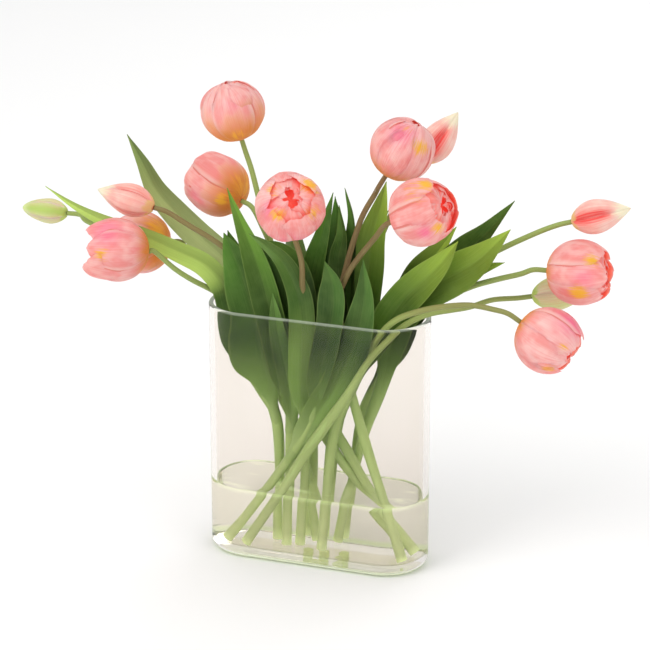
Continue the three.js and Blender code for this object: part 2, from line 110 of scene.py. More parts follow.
TULIPS = [dict(
    id="01", head="bloom", facing=(-0.27, -0.1, 0.958), turn=0.93, open=-0.08, slit=20, base=0.72,
    corner=0.25, yellow=[(290, 50, 8, 0.5)], magenta=[(300, 100, 9, 0.3)], lips={2: (0, 2), 4: (0, 1)},
    route=[(-25, -12, FOOT_Z), (-25, -5, 100), (-28, 9, 150), (-32, 12, 200), (-38, 6, 245),
           (-44, 2, 280), (-54, 1, 318), (-62, 2, 347), (-71.5, 2, 375)],
    leaves=[
        strap(27, 0.5, (0.3, -1, 0.1), (-0.2, -1, 0.4), 0.18, "mid", [
            (-25, -5, 108), (-24, -10.5, 134), (-27, -14.5, 163), (-32, -16, 196), (-38, -19, 226),
            (-45, -20, 255), (-54, -20, 282), (-65, -18, 306), (-78, -16, 335)]),
        strap(16, 0.6, (0.2, -1, 0.1), (0.2, -1, 0.3), 0.1, "grey", [
            (-25, -6, 108), (-21, -12, 130), (-22, -17, 160), (-27, -21, 194), (-31, -24, 222),
            (-34, -24, 247)])],
), dict(
    id="02", head="bloom", facing=(-0.889, 0.266, 0.334), turn=1.52, open=0.42, slit=90, base=0.66,
    corner=0.15, deep=6, lips={2: (4, 2), 1: (3, 1), 4: (2, 2)},
    yellow=[(258, 44, 6, 0.9), (10, 25, 20, 0.5)], magenta=[(240, 95, 8, 0.5)],
    route=[(-14, 21, FOOT_Z), (-14, 22, 100), (-27, 24, 170), (-40, 26, 230), (-50, 27, 262),
           (-62, 29, 286), (-86, 38, 307)],
    leaves=[
        strap(22, 0.5, (0, -1, 0), (0.4, -1, 0.2), 0.2, "deep", [
            (-16, 22, 112), (-14, 17, 140), (-14, 14, 184), (-13, 8, 233), (-7, 5, 267), (2, 3, 298),
            (12, 2, 335)]),
        strap(30, 0.55, (0, 1, 0), (0.1, 1, 0.6), 0.1, "deep", [
            (-18, 23, 130), (-23, 26, 170), (-27, 27, 215), (-31, 29, 235), (-38, 40, 262),
            (-48, 56, 284), (-60, 76, 298)])],
), dict(
    id="03", brown=0.9, head="bloom", facing=(0.315, -0.746, 0.558), turn=0.2, open=0.45, slit=315,
    base=0.36, swell=1.07,
    yellow=[(62, 130, 9, 1.1), (173, 142, 7, 0.9), (251, 141, 7, 1), (348, 129, 7, 0.7)],
    magenta=[(228, 134, 8, 0.9), (292, 80, 12, 0.7)],
    route=[(-14, -6, FOOT_Z), (-9, -9, 100), (-8, -9, 165), (-8, -12, 200), (-8, -17, 233),
           (-6, -26, 259), (-3, -38, 287), (-7, -56, 329)],
    leaves=[
        strap(23, 0.5, (0.1, -1, 0), (0.9, -0.6, 0.9), 0.14, "grey", [
            (-9, -9, 112), (-11, -12, 130), (-12, -16, 155), (-9, -21, 198), (-8, -23.5, 227),
            (-10, -29, 253), (-21, -33, 279), (-38, -30, 292), (-54, -28, 300)
        ], dawn=55),
        strap(24, 0.55, (0, -1, 0), (-0.1, -1, 0.4), 0.16, "grey", [
            (-9, -8, 118), (-12, -8.5, 147), (-17, -8, 183), (-26, -8, 214), (-36, -8, 245),
            (-47, -9, 273), (-60, -10, 296)]),
        strap(22, 0.55, (0, -1, 0), (0.3, -1, 0.7), 0.16, "dark", [
            (-9, -7, 130), (-8, -6, 165), (-10, -4, 211), (-11, -8, 244), (-17, -13, 269),
            (-29, -16, 284), (-46, -18, 292)])],
), dict(
    id="04", brown=0.95, head="bloom", facing=(0.484, 0.13, 0.864), turn=0.5, open=-0.08, slit=20,
    base=0.46, corner=0.25, yellow=[(312, 118, 8, 1), (256, 140, 6, 0.8)],
    magenta=[(256, 126, 12, 0.9)], lips={1: (0, 3), 2: (0, 2), 5: (0, 2)},
    route=[(82, -17, FOOT_Z), (66, -15, 60), (46, -8, 112), (27, -2, 170), (20, -4, 230), (24, -3, 264),
           (37, 0, 312), (50, 1, 338), (63, -8, 359)],
    leaves=[
        strap(16, 0.55, (0, -1, 0), (-0.3, -1, 0), 0.2, "dark", [
            (30, -3, 160), (24, 0, 203), (18, 2, 238), (16, 3, 272), (20, 3, 297), (17, 3, 324)]),
        strap(14, 0.5, (0, -1, 0), (-0.8, -1, 0), 0.25, "deep", [
            (31, -3, 150), (29, 1, 200), (27, 4, 256), (28, 5, 287), (28, 5, 314), (21, 6, 339)])],
), dict(
    id="05", brown=0.5, head="bud", facing=(0.52, 0.2, 0.84), turn=0.67, green=0,
    route=[(0, 24, FOOT_Z), (8, 18, 95), (22, 20, 170), (31, 22, 230), (43, 25, 279), (57, 28, 315),
           (70, 31, 341), (82, 35, 360)],
    leaves=[
        strap(29, 0.55, (0, -1, 0), (0.2, -1, 0), 0.2, "fresh", [
            (12, 18, 112), (22, 17, 141), (29, 14, 190), (37, 13, 237), (40, 13, 265), (43, 13, 292),
            (50, 12, 319), (57, 10, 347)]),
        strap(18, 0.55, (0, -1, 0), (0, -1, 0), 0.2, "deep", [
            (10, 18, 120), (9, 17, 148), (7, 14, 196), (4, 12, 243), (8, 12, 280), (12, 11, 306),
            (11, 10, 329)]),
        strap(30, 0.55, (0, 1, 0), (-0.1, 1, 0.6), 0.1, "mid", [
            (14, 20, 130), (18, 25, 165), (21, 27, 210), (23, 29, 235), (26, 40, 260), (30, 55, 282),
            (38, 76, 300)])],
), dict(
    id="06", brown=0.9, head="bloom", facing=(0.866, -0.203, 0.439), turn=1.24, open=0.5, slit=318,
    base=0.36, swell=1.03, yellow=[(188, 126, 7, 1), (306, 128, 6, 1), (200, 112, 15, 0.35)],
    magenta=[(292, 106, 6, 1)],
    route=[(-77, -22, FOOT_Z), (-43, -22, 60), (-8, -21, 115), (5, -19, 150), (11, -18, 185),
           (17, -18, 230), (32, -23, 268), (44, -27, 288), (62, -36, 311), (88, -55, 335)],
    leaves=[
        strap(29, 0.55, (0.1, -1, 0), (0.1, -1, 0.1), 0.06, "blue", [
            (-24, -22, 90), (-10, -22, 112), (7, -23, 141), (24, -23, 169), (39, -23, 205),
            (46, -26, 230), (51, -30, 258), (51, -33, 290)
        ], full=0.5, dawn=10, opens=0.2),
        strap(27, 0.7, (0, -1, 0), (-0.3, -1, 0.2), 0.14, "blue", [
            (0, -20, 130), (3, -23, 150), (8, -25, 173), (16, -25, 207), (21, -27, 235), (22, -28, 262),
            (15, -28, 283)])],
), dict(
    id="07", head="bud", facing=(0.947, 0, 0.322), turn=0.27, green=0,
    route=[(18, 26, FOOT_Z), (29, 27, 115), (52, 24, 170), (78, 16, 230), (104, 11, 256),
           (132, 11, 280), (160, 13, 298), (190, 14, 315), (219, 15, 327)],
    leaves=[
        strap(27, 0.6, (0, -1, 0), (-0.2, -1, 0.7), 0.2, "dark", [
            (38, 26, 140), (58, 22, 185), (79, 19, 228), (96, 18, 253), (111, 17, 273), (127, 17, 291),
            (145, 17, 310), (168, 18, 339)
        ], lobe=(1, 0.9, 0.0, 0.17), full=0.5, opens=0.2),
        strap(24, 0.6, (0, -1, 0), (0, -1, 0.5), 0.2, "fresh", [
            (34, 27, 130), (50, 26, 180), (66, 24, 228), (75, 24, 248), (85, 24, 266), (99, 25, 285),
            (115, 26, 308)])],
), dict(
    id="08", head="bloom", facing=(0.975, -0.02, 0.06), turn=1.35, open=0.55, slit=2, base=0.42,
    yellow=[(290, 100, 7.5, 1), (222, 120, 6, 0.9)], magenta=[(262, 110, 9, 0.6)],
    lips={5: (0, 2), 0: (0, 2), 4: (-2, 5)},
    route=[(16, 13, FOOT_Z), (25, 14, 60), (38, 14, 115), (60, 8, 170), (84, 4, 228), (112, 5, 250),
           (137, 1, 265), (160, -2, 275), (180, -2, 282), (204, -3, 288)],
    leaves=[
        strap(38, 0.6, (0, -1, 0.1), (-0.2, -1, 0.35), 0.08, "fresh", [
            (36, 13, 112), (46, 7, 145), (58, 2, 180), (66, 0, 205), (72, 0, 228), (83, 0, 247),
            (101, 0, 262), (124, -2, 276), (142, -6, 290), (156, -7, 304), (172, -8, 322)]),
        strap(12, 0.5, (0, -1, 0), (0, -1, 0.8), 0.15, "fresh", [
            (92, 3, 238), (107, 4, 252), (129, 3, 270), (147, 3, 281), (164, 5, 288)])],
), dict(
    id="09", brown=0.45, head="bloom", facing=(0.878, -0.088, -0.449), turn=0.43, open=0.45, slit=30,
    base=0.42, yellow=[(294, 119, 6, 1), (230, 125, 5, 0.6)], magenta=[(176, 104, 13, 1)],
    route=[(8, -12, FOOT_Z), (17, -13, 115), (32, -15, 158), (46, -16, 190), (63, -22, 220),
           (79, -31, 238), (98, -35, 249), (120, -37, 257), (147, -40, 263), (170, -44, 263),
           (194, -48, 256)],
    leaves=[
        strap(30, 0.6, (0, -1, 0.1), (-0.1, -1, 0.2), 0.1, "fresh", [
            (30, -15, 150), (42, -11, 180), (55, -8, 207), (66, -7, 229), (79, -7, 249), (95, -8, 267),
            (112, -9, 286), (127, -9, 307)])],
), dict(
    id="10", brown=0.2, head="bud", facing=(0.975, 0.11, 0.2), turn=0.2, green=0.6,
    route=[(-59, -26, FOOT_Z), (-21, -30, 72), (0, -30, 108), (34, -30, 161), (54, -29, 196),
           (68, -25, 214), (80, -19, 227), (94, -16, 237), (108, -15, 243), (123, -14, 247),
           (137, -3, 248), (152, 12, 251), (184, 24, 254)],
    leaves=[],
), dict(
    id="11", head="bloom", facing=(-0.89, -0.395, 0.081), turn=1.28, open=0.55, slit=250, base=0.46,
    neck=5, yellow=[(300, 114, 6, 0.7)], magenta=[(350, 108, 12, 0.9)],
    lips={2: (0, 3), 4: (2, 6), 5: (1, 4)},
    route=[(72, 14, FOOT_Z), (40, 8, 60), (20, 1, 90), (2, 1, 115), (-23, -1, 150), (-38, -4, 170),
           (-58, -5, 200), (-79, -5, 226), (-95, -8, 237), (-109, -22, 250), (-122, -31, 262),
           (-141, -42, 279)],
    leaves=[],
), dict(
    id="12", brown=0.4, head="bloom", facing=(-0.974, 0.056, -0.136), turn=0.78, open=0.5, slit=15,
    base=0.66, yellow=[(326, 30, 15, 0.8)], magenta=[(240, 100, 10, 0.5)],
    route=[(-2, 8, FOOT_Z), (-12, 12, 60), (-28, 12, 115), (-45, 13, 150), (-56, 15, 175),
           (-80, 17, 222), (-98, 18, 243), (-114, 19, 255), (-130, 20, 262), (-150, 21, 267)],
    leaves=[
        strap(25, 0.6, (0, -1, 0.1), (0.3, -1, 0.5), 0.12, "pale", [
            (-30, 13, 118), (-44, 18, 150), (-57, 22, 190), (-67, 23, 222), (-84, 24, 246),
            (-104, 24, 262), (-124, 23, 278), (-142, 20, 296), (-158, 18, 315), (-170, 17, 339),
            (-184, 16, 364)]),
        strap(22, 0.6, (0, -1, 0), (0, -1, 0.2), 0.18, "dark", [
            (-42, 13, 145), (-54, 10, 195), (-64, 7, 230), (-77, 7, 262), (-87, 7, 289)])],
), dict(
    id="13", brown=0.8, head="bud", facing=(-0.963, -0.1, 0.246), turn=1.82, green=0.1, flush=0.4,
    route=[(86, 1, FOOT_Z), (50, 2, 60), (14, 4, 115), (-8, 3, 148), (-20, 2, 170), (-35, 0, 200),
           (-50, -3, 232), (-68, -7, 264), (-90, -11, 283), (-115, -14, 297), (-146, -18, 311)],
    leaves=[],
), dict(
    id="14", head="bud", facing=(-1, 0, 0.02), turn=1.94, green=1, size=0.83, blunt=0.4,
    route=[(-37, 0, FOOT_Z), (-38, -2, 115), (-53, -1, 150), (-62, 0, 170), (-84, 4, 222),
           (-100, 2, 243), (-118, -5, 257), (-143, -9, 269), (-170, -9, 277), (-198, -3, 281),
           (-222, 8, 283), (-246, 20, 284)],
    leaves=[
        strap(38, 0.6, (0, -1, 0), (0, -1, 0.2), 0.1, "deep", [
            (-38, -3, 112), (-42, -8, 147), (-50, -11, 189), (-59, -14, 232), (-69, -15, 265),
            (-82, -15, 294)
        ], dawn=4, lobe=(-1, 0.95, 0.24, 0.46)),
        strap(22, 0.45, (0.2, -1, 0), (0, -1, 0.15), 0.12, "bright", [
            (-40, -2, 118), (-51, -6, 141), (-64, -9, 163), (-74, -11, 186), (-78, -11, 207),
            (-80, -12, 230), (-85, -14, 247), (-102, -10, 261), (-127, -11, 271), (-161, -15, 284),
            (-196, -12, 292), (-225, -8, 301), (-255, -4, 315)])],
)]
bunch_leaves = sum(len(tulip["leaves"]) for tulip in TULIPS)
print(len(TULIPS), "tulips with", bunch_leaves, "leaves")

# %% [markdown]
# ## From grids of points to meshes
#
# A leaf and a petal are thin: two skins a millimetre apart that meet at the edge. So each is a grid of
# middle points, pushed out to both sides by a thickness that falls to nothing at the border, where both
# skins share their points. That closes the mesh with no rim of its own, and gives the thin soft edge of
# a real blade. Numbers that say where a point lies on its blade travel along as attributes, and the
# materials read them.

# %% Mesh helpers
def through(points, t):
    """The smooth curve through points, at shares t of its length in points: each span is a cubic that
    leaves a point with half the way from its last neighbour to its next. Gives places and directions."""
    p = np.asarray(points, float)
    p = np.vstack([2 * p[0] - p[1], p, 2 * p[-1] - p[-2]])
    along = np.clip(t, 0, 1) * (len(p) - 3)
    i = np.minimum(along.astype(int), len(p) - 4)
    w = (along - i)[:, None]
    a, b, c, d = p[i], p[i + 1], p[i + 2], p[i + 3]
    leave, arrive = 0.5 * (c - a), 0.5 * (d - b)
    k2, k3 = -3 * b + 3 * c - 2 * leave - arrive, 2 * b - 2 * c + leave + arrive
    place = b + leave * w + k2 * w**2 + k3 * w**3
    course = leave + 2 * k2 * w + 3 * k3 * w**2
    return place, course / np.linalg.norm(course, axis=1, keepdims=True)


def unit(v):
    """Vectors brought to length one."""
    return v / np.maximum(np.linalg.norm(v, axis=-1, keepdims=True), 1e-9)


def smooth(x, low, high):
    """Zero below low, one above high, and an S between them."""
    t = np.clip((x - low) / (high - low), 0, 1)
    return t * t * (3 - 2 * t)


def quads_of(index):
    """Four-cornered faces between the rows of a grid of point numbers."""
    return np.stack([index[:-1, :-1], index[:-1, 1:], index[1:, 1:], index[1:, :-1]], -1).reshape(-1, 4)


def blade(middle, half, notes):
    """A closed thin sheet: middle points plus and minus half a thickness along the grid's normal, which
    is across x along. The border's points are shared. notes has one row of numbers for each point. Its
    last but one becomes +1 on the front skin and -1 on the back, and its last 1 along the border."""
    rows, columns = middle.shape[:2]
    normal = unit(np.cross(np.gradient(middle, axis=1), np.gradient(middle, axis=0)))
    inner = np.zeros((rows, columns), bool)
    inner[1:-1, 1:-1] = True
    half = np.where(inner, half, 0)[..., None]
    front = np.arange(rows * columns).reshape(rows, columns)
    back = front.copy()
    back[inner] = rows * columns + np.arange(inner.sum())
    points = np.vstack([(middle + normal * half).reshape(-1, 3), (middle - normal * half)[inner]])
    notes = np.vstack([notes.reshape(-1, notes.shape[-1]), notes[inner]])
    notes[:, -2] = np.where(np.arange(len(points)) < rows * columns, 1, -1)
    notes[front[~inner], -1] = 1
    return points, [quads_of(front), quads_of(back)[:, ::-1]], notes


def drum(rings, notes):
    """A closed body from rings of points around it: faces between the rings and a fan over each end."""
    rows, around = rings.shape[:2]
    index = np.arange(rows * around).reshape(rows, around)
    skin = quads_of(np.column_stack([index, index[:, :1]]))
    ends = rings[[0, -1]].mean(axis=1)
    notes = np.vstack([notes.reshape(rows * around, -1), notes[[0, -1]].mean(axis=1)])
    low, high = rows * around, rows * around + 1
    first, last = index[0], index[-1]
    fans = [np.column_stack([np.full(around, low), np.roll(first, -1), first]),
            np.column_stack([np.full(around, high), last, np.roll(last, -1)])]
    return np.vstack([rings.reshape(-1, 3), ends]), [skin, *fans], notes


def make_piece(name, shapes, finish, node):
    """One mesh object from several closed shapes, riding on the frame in the place of its CAD node."""
    points, faces, notes, start = [], [], [], 0
    for shape_points, shape_faces, shape_notes in shapes:
        faces += [f + start for f in shape_faces]
        points.append(shape_points)
        notes.append(shape_notes)
        start += len(shape_points)
    points, notes = np.vstack(points) * MM, np.vstack(notes)
    mesh = bpy.data.meshes.new(name)
    mesh.vertices.add(len(points))
    mesh.vertices.foreach_set("co", points.astype(np.float32).ravel())
    corners = np.concatenate([f.ravel() for f in faces])
    counts = np.concatenate([np.full(len(f), f.shape[1]) for f in faces])
    mesh.loops.add(len(corners))
    mesh.loops.foreach_set("vertex_index", corners.astype(np.int32))
    mesh.polygons.add(len(counts))
    mesh.polygons.foreach_set("loop_start", (np.cumsum(counts) - counts).astype(np.int32))
    mesh.polygons.foreach_set("use_smooth", np.ones(len(counts), bool))
    for k, label in enumerate(("course", "marks", "tint", "place")):
        data = mesh.attributes.new(label, "FLOAT_VECTOR", "POINT").data
        data.foreach_set("vector", np.ascontiguousarray(notes[:, 3 * k:3 * k + 3], np.float32).ravel())
    mesh.update(calc_edges=True)
    ends = np.empty(2 * len(mesh.edges), np.int32)
    mesh.edges.foreach_get("vertices", ends)
    border = notes[:, -1][ends.reshape(-1, 2)].min(axis=1) > 0.5
    mesh.attributes.new("sharp_edge", "BOOLEAN", "EDGE").data.foreach_set("value", border)
    mesh.validate()
    mesh.materials.append(finish)
    piece = placed(name, mesh)
    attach(piece, "root")
    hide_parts(node)
    print(name, int((counts - 2).sum()), "triangles")


def notes_of(shape, course, marks, tint, place):
    """Thirteen numbers for each point of a grid: course (across mm, along mm, seed), marks, tint, place
    (across share, along share, skin) and whether it lies on a border."""
    tint = np.moveaxis(np.broadcast_to(np.asarray(tint, float), (*shape, 3)), -1, 0)
    numbers = [*course, *marks, *tint, *place, 0]
    return np.stack([np.broadcast_to(np.asarray(number, float), shape) for number in numbers], -1)


def colour(code):
    """A colour written as on the web, in the linear light that Blender mixes in."""
    c = np.array([int(code[i:i + 2], 16) for i in (0, 2, 4)]) / 255
    return np.where(c < 0.04045, c / 12.92, ((c + 0.055) / 1.055) ** 2.4)

# %% [markdown]
# ## Shader helpers and the veins
#
# Leaves, stems, petals and buds all carry fine lines that run along them. They differ in pitch and
# colour, but the lines are the same effect, so they are one node group. It stretches a noise far along
# the blade: what is a speck in the noise becomes a long vein. A second, coarser noise gives soft patches.

# %% Shader helpers
BLACK = (0.0, 0.0, 0.0)


def add(tree, kind, sockets=(), **settings):
    """A node with its settings and its inputs, each input a value or another node's output."""
    made = tree.nodes.new(kind)
    for key, value in settings.items():
        setattr(made, key, value)
    for key, value in dict(sockets).items():
        if isinstance(value, bpy.types.NodeSocket):
            tree.links.new(value, made.inputs[key])
        else:
            made.inputs[key].default_value = value
    return made


def maths(tree, operation, a, b=0.0, clamp=False):
    """One sum of two numbers."""
    return add(tree, "ShaderNodeMath", {0: a, 1: b}, operation=operation, use_clamp=clamp).outputs[0]


def times(tree, a, b):
    """Two numbers multiplied."""
    return maths(tree, "MULTIPLY", a, b)


def ramp(tree, value, low, high, bottom=0.0, top=1.0):
    """A number carried smoothly from bottom at low to top at high."""
    made = add(tree, "ShaderNodeMapRange", {0: value, 1: low, 2: high, 3: bottom, 4: top},
               interpolation_type="SMOOTHSTEP")
    return made.outputs[0]


def blend(tree, share, a, b, way="MIX"):
    """Two colours mixed by a share, each a code, three numbers or another node's output."""
    def full(c):
        c = colour(c) if isinstance(c, str) else c
        return c if isinstance(c, bpy.types.NodeSocket) else (*c, 1)
    made = add(tree, "ShaderNodeMix", {0: share, 6: full(a), 7: full(b)}, data_type="RGBA", blend_type=way)
    return made.outputs[2]


def grain(tree, vector, scale, detail=2.0, rough=0.5):
    """Soft noise between 0 and 1."""
    made = add(tree, "ShaderNodeTexNoise", {"Vector": vector, "Scale": scale, "Detail": detail,
                                            "Roughness": rough})
    return made.outputs[0]


def reader(tree, label):
    """The three numbers of a piece's attribute."""
    source = add(tree, "ShaderNodeAttribute", attribute_name=label)
    parts = add(tree, "ShaderNodeSeparateXYZ", {0: source.outputs["Vector"]})
    return source.outputs["Vector"], parts.outputs


def finish(name, **sockets):
    """A material with one Principled shader whose plain values are set on its sockets."""
    material = bpy.data.materials.new(name)
    material.use_nodes = True
    shader = material.node_tree.nodes["Principled BSDF"]
    for key, value in sockets.items():
        shader.inputs[key.replace("_", " ")].default_value = value
    return material, material.node_tree, shader


def join(tree, output, shader, name):
    """One link into the shader."""
    tree.links.new(output, shader.inputs[name])

# %% The vein group
STRETCH = 0.03
veins = bpy.data.node_groups.new("veins", "ShaderNodeTree")
for label in ("Across", "Along", "Seed", "Pitch"):
    veins.interface.new_socket(label, in_out="INPUT", socket_type="NodeSocketFloat")
for label in ("Lines", "Patches"):
    veins.interface.new_socket(label, in_out="OUTPUT", socket_type="NodeSocketFloat")
entry, leave = veins.nodes.new("NodeGroupInput"), veins.nodes.new("NodeGroupOutput")
across = times(veins, entry.outputs["Across"], entry.outputs["Pitch"])
along = times(veins, entry.outputs["Along"], STRETCH)
drawn = add(veins, "ShaderNodeCombineXYZ", {0: across, 1: along, 2: entry.outputs["Seed"]})
fine = grain(veins, drawn.outputs[0], 1.0, 3.0, 0.6)
wide = add(veins, "ShaderNodeCombineXYZ", {0: entry.outputs["Across"], 1: entry.outputs["Along"],
                                           2: entry.outputs["Seed"]})
soft = grain(veins, wide.outputs[0], 0.07, 2.0)
veins.links.new(ramp(veins, fine, 0.35, 0.65), leave.inputs["Lines"])
veins.links.new(ramp(veins, soft, 0.3, 0.7), leave.inputs["Patches"])


def vein_marks(tree, pitch):
    """The vein group in a material, read from the piece's course."""
    _, parts = reader(tree, "course")
    group = add(tree, "ShaderNodeGroup", node_tree=veins)
    for label, value in zip(("Across", "Along", "Seed"), parts):
        tree.links.new(value, group.inputs[label])
    group.inputs["Pitch"].default_value = pitch
    return group.outputs["Lines"], group.outputs["Patches"]

# %% [markdown]
# ## The leaf and stem finish
#
# A tulip leaf is thick and faintly waxy. Parallel veins run its whole length, the midrib is a paler
# groove, and the wax lies in bluish clouds. The blade's colour, with its painted shade and light, comes
# with its points, so one material serves pale outer leaves and dark inner ones. Roughness varies with the
# veins, because wax fills the furrows, and the same lines raise a slight bump. `marks` says how far a
# stem stands in the water, where it glows in its own tint: a painted light that stands in for the light
# that gathers round it there and makes it look pale.

# %% Leaf material
leaf_green, tree, shader = finish("leaf_green", Roughness=0.4, Specular_IOR_Level=0.17,
                                  Emission_Strength=1.0)
lines, patches = vein_marks(tree, 3.4)
tint, _ = reader(tree, "tint")
_, where = reader(tree, "place")
across = maths(tree, "ABSOLUTE", where[0])
darker = blend(tree, 1.0, tint, (0.86, 0.88, 0.82), "MULTIPLY")
lighter = blend(tree, 0.06, tint, "b9cf7a")
body = blend(tree, lines, darker, lighter)
clouded = blend(tree, times(tree, patches, 0.45), body, blend(tree, 0.3, tint, "7f9a52"))
middle = ramp(tree, across, 0.0, 0.07, 0.05, 0.0)
ribbed = blend(tree, middle, clouded, "a9bf72")
edge = ramp(tree, across, 0.9, 1.0, 0.0, 0.2)
bordered = blend(tree, edge, ribbed, "a9bd6c")
behind = ramp(tree, where[2], -0.2, 0.2, 0.2, 0.0)
join(tree, blend(tree, behind, bordered, "93a86a"), shader, "Base Color")
_, (painted_water_glow, _, _) = reader(tree, "marks")
# Painted glow: a stem in the water glows in its own tint, standing in for the light that gathers round it.
join(tree, blend(tree, times(tree, painted_water_glow, 0.55), BLACK, tint), shader, "Emission Color")
join(tree, ramp(tree, lines, 0.0, 1.0, 0.36, 0.5), shader, "Roughness")
relief = add(tree, "ShaderNodeBump", {"Strength": 0.12, "Distance": 0.0003, "Height": lines})
join(tree, relief.outputs[0], shader, "Normal")
print("leaf finish has", len(tree.nodes), "nodes")

# %% [markdown]
# ## The petal finish
#
# A double tulip's petal is pink with a salmon cast. Fine veins fan along it, its base keeps some
# orange and yellow, and the outer petals carry yellow flames near their tips, where the bud was green
# last. The inside is coral red, and it deepens towards the heart. `marks` holds how yellow, how
# magenta and how deep in the bloom each petal is. The inside and the deep petals also glow with a
# painted light that stands in for light shining through the thin petals, and the side edges of the
# pink petals carry a painted highlight beside a painted shadow line, which draw the seams.

# %% Petal material
def petal_finish(name, pale, warm, rose, inner, tip, root, painted_glow, seam):
    """The petal's layers of colour: veins, warm patches, magenta, base and flame, inside and heart. The
    last two numbers are how strongly the inside and the deep parts glow with a painted light, standing
    in for light shining through the thin petals, and how strongly the side edges carry a painted
    highlight band and a painted shadow line."""
    material, tree, shader = finish(
        name, Roughness=0.5, Specular_IOR_Level=0.35, Subsurface_Weight=0.35, Subsurface_Scale=1.0,
        Subsurface_Radius=(0.005, 0.0022, 0.0016), Emission_Strength=1.0)
    lines, patches = vein_marks(tree, 1.1)
    _, (across, along, skin) = reader(tree, "place")
    _, (yellow, magenta, depth) = reader(tree, "marks")
    side = maths(tree, "ABSOLUTE", across)
    _, (base, own, _) = reader(tree, "tint")
    outer = blend(tree, maths(tree, "ADD", patches, own, True), pale, warm)
    outer = blend(tree, times(tree, lines, 0.33), outer, "ec7a75")
    rosy = times(tree, magenta, ramp(tree, lines, 0.0, 1.0, 0.65, 1.0))
    outer = blend(tree, rosy, outer, rose)
    # Painted highlight and painted shadow at the seams: a pale band inside the side edge and a darker coral
    # line at the edge itself.
    outer = blend(tree, ramp(tree, side, 0.66, 0.86, 0.0, 0.5 * seam), outer, "fed2c6")
    outer = blend(tree, ramp(tree, side, 0.88, 0.95, 0.0, 0.85 * seam), outer, "ea7468")
    warmth = maths(tree, "ADD", along, times(tree, maths(tree, "SUBTRACT", patches, 0.5), 0.12))
    low = maths(tree, "SUBTRACT", base, times(tree, side, 0.08))
    rooted = ramp(tree, maths(tree, "DIVIDE", warmth, low), 0.35, 1.0, 0.95, 0.0)
    outer = blend(tree, rooted, outer, root)
    uneven = maths(tree, "ADD", times(tree, lines, 0.45), times(tree, patches, 0.35))
    ragged = maths(tree, "ADD", yellow, maths(tree, "SUBTRACT", uneven, 0.4))
    flame = times(tree, ramp(tree, ragged, 0.2, 0.85), ramp(tree, yellow, 0.02, 0.2))
    outer = blend(tree, flame, outer, tip)
    sides, end = ramp(tree, side, 0.6, 1.0, 0.0, 0.7), ramp(tree, along, 0.82, 1.0, 0.0, 0.8)
    rim = maths(tree, "MAXIMUM", sides, end)
    within = blend(tree, times(tree, lines, 0.25), inner, "ec5446")
    within = blend(tree, rim, within, pale)
    sunk = times(tree, depth, ramp(tree, along, 0.8, 0.985, 1.0, 0.12))
    outer = blend(tree, sunk, outer, inner)
    turned = ramp(tree, skin, -0.2, 0.2)
    join(tree, blend(tree, turned, within, outer), shader, "Base Color")
    join(tree, ramp(tree, lines, 0.0, 1.0, 0.5, 0.66), shader, "Roughness")
    # Painted glow: the inside skin and the deep parts glow in the inner colour, standing in for light shining
    # through the petals.
    painted_glow_mask = maths(tree, "MAXIMUM", maths(tree, "SUBTRACT", 1.0, turned), sunk)
    join(tree, blend(tree, painted_glow_mask, BLACK, painted_glow * colour(inner)), shader, "Emission Color")
    relief = add(tree, "ShaderNodeBump", {"Strength": 0.3, "Distance": 0.0005, "Height": lines})
    join(tree, relief.outputs[0], shader, "Normal")
    return material


petal_pink = petal_finish("petal_pink", "fcc2bc", "f3918d", "fb6d92", "ec5a4c",
                          "f8b236", "e2872a", 0.24, 1.0)
petal_pale = petal_finish("petal_pale", "fed3c6", "fbb9ac", "f5504c", "f2605e",
                          "fcebc8", "efb878", 0.15, 0.0)
petal_green = petal_finish("petal_green", "eee2bc", "f3d6bc", "f8cfc2", "b6ca68",
                           "dfe39a", "c3d468", 0.0, 0.0)
print("petal finishes:", petal_pink.name, petal_pale.name, petal_green.name)

# %% [markdown]
# ## Stems
#
# A stem is a round tube a little thicker at its foot, with faint ridges. It could be a bevelled curve,
# but a grid of rings gives closed cut ends and lets its colour change along the way: almost white in the
# water, light green up to the waist, olive above the rim, and brown where the flower has aged it. In the
# water it also glows with a painted light, most at its foot, which stands in for the light that gathers
# round it there.

# %% Stem shapes
FOOT_RADIUS, NECK_RADIUS, NECK_STRAIGHT = 4.0, 2.1, 13.0
AROUND, SPAN_STEPS = 18, 9
CLASP_HEIGHT, CLASP_SPAN = 122, 38


def toward(tone, code, share):
    """A tone moved by a share of the way to a colour."""
    return tone + (colour(code) - tone) * share


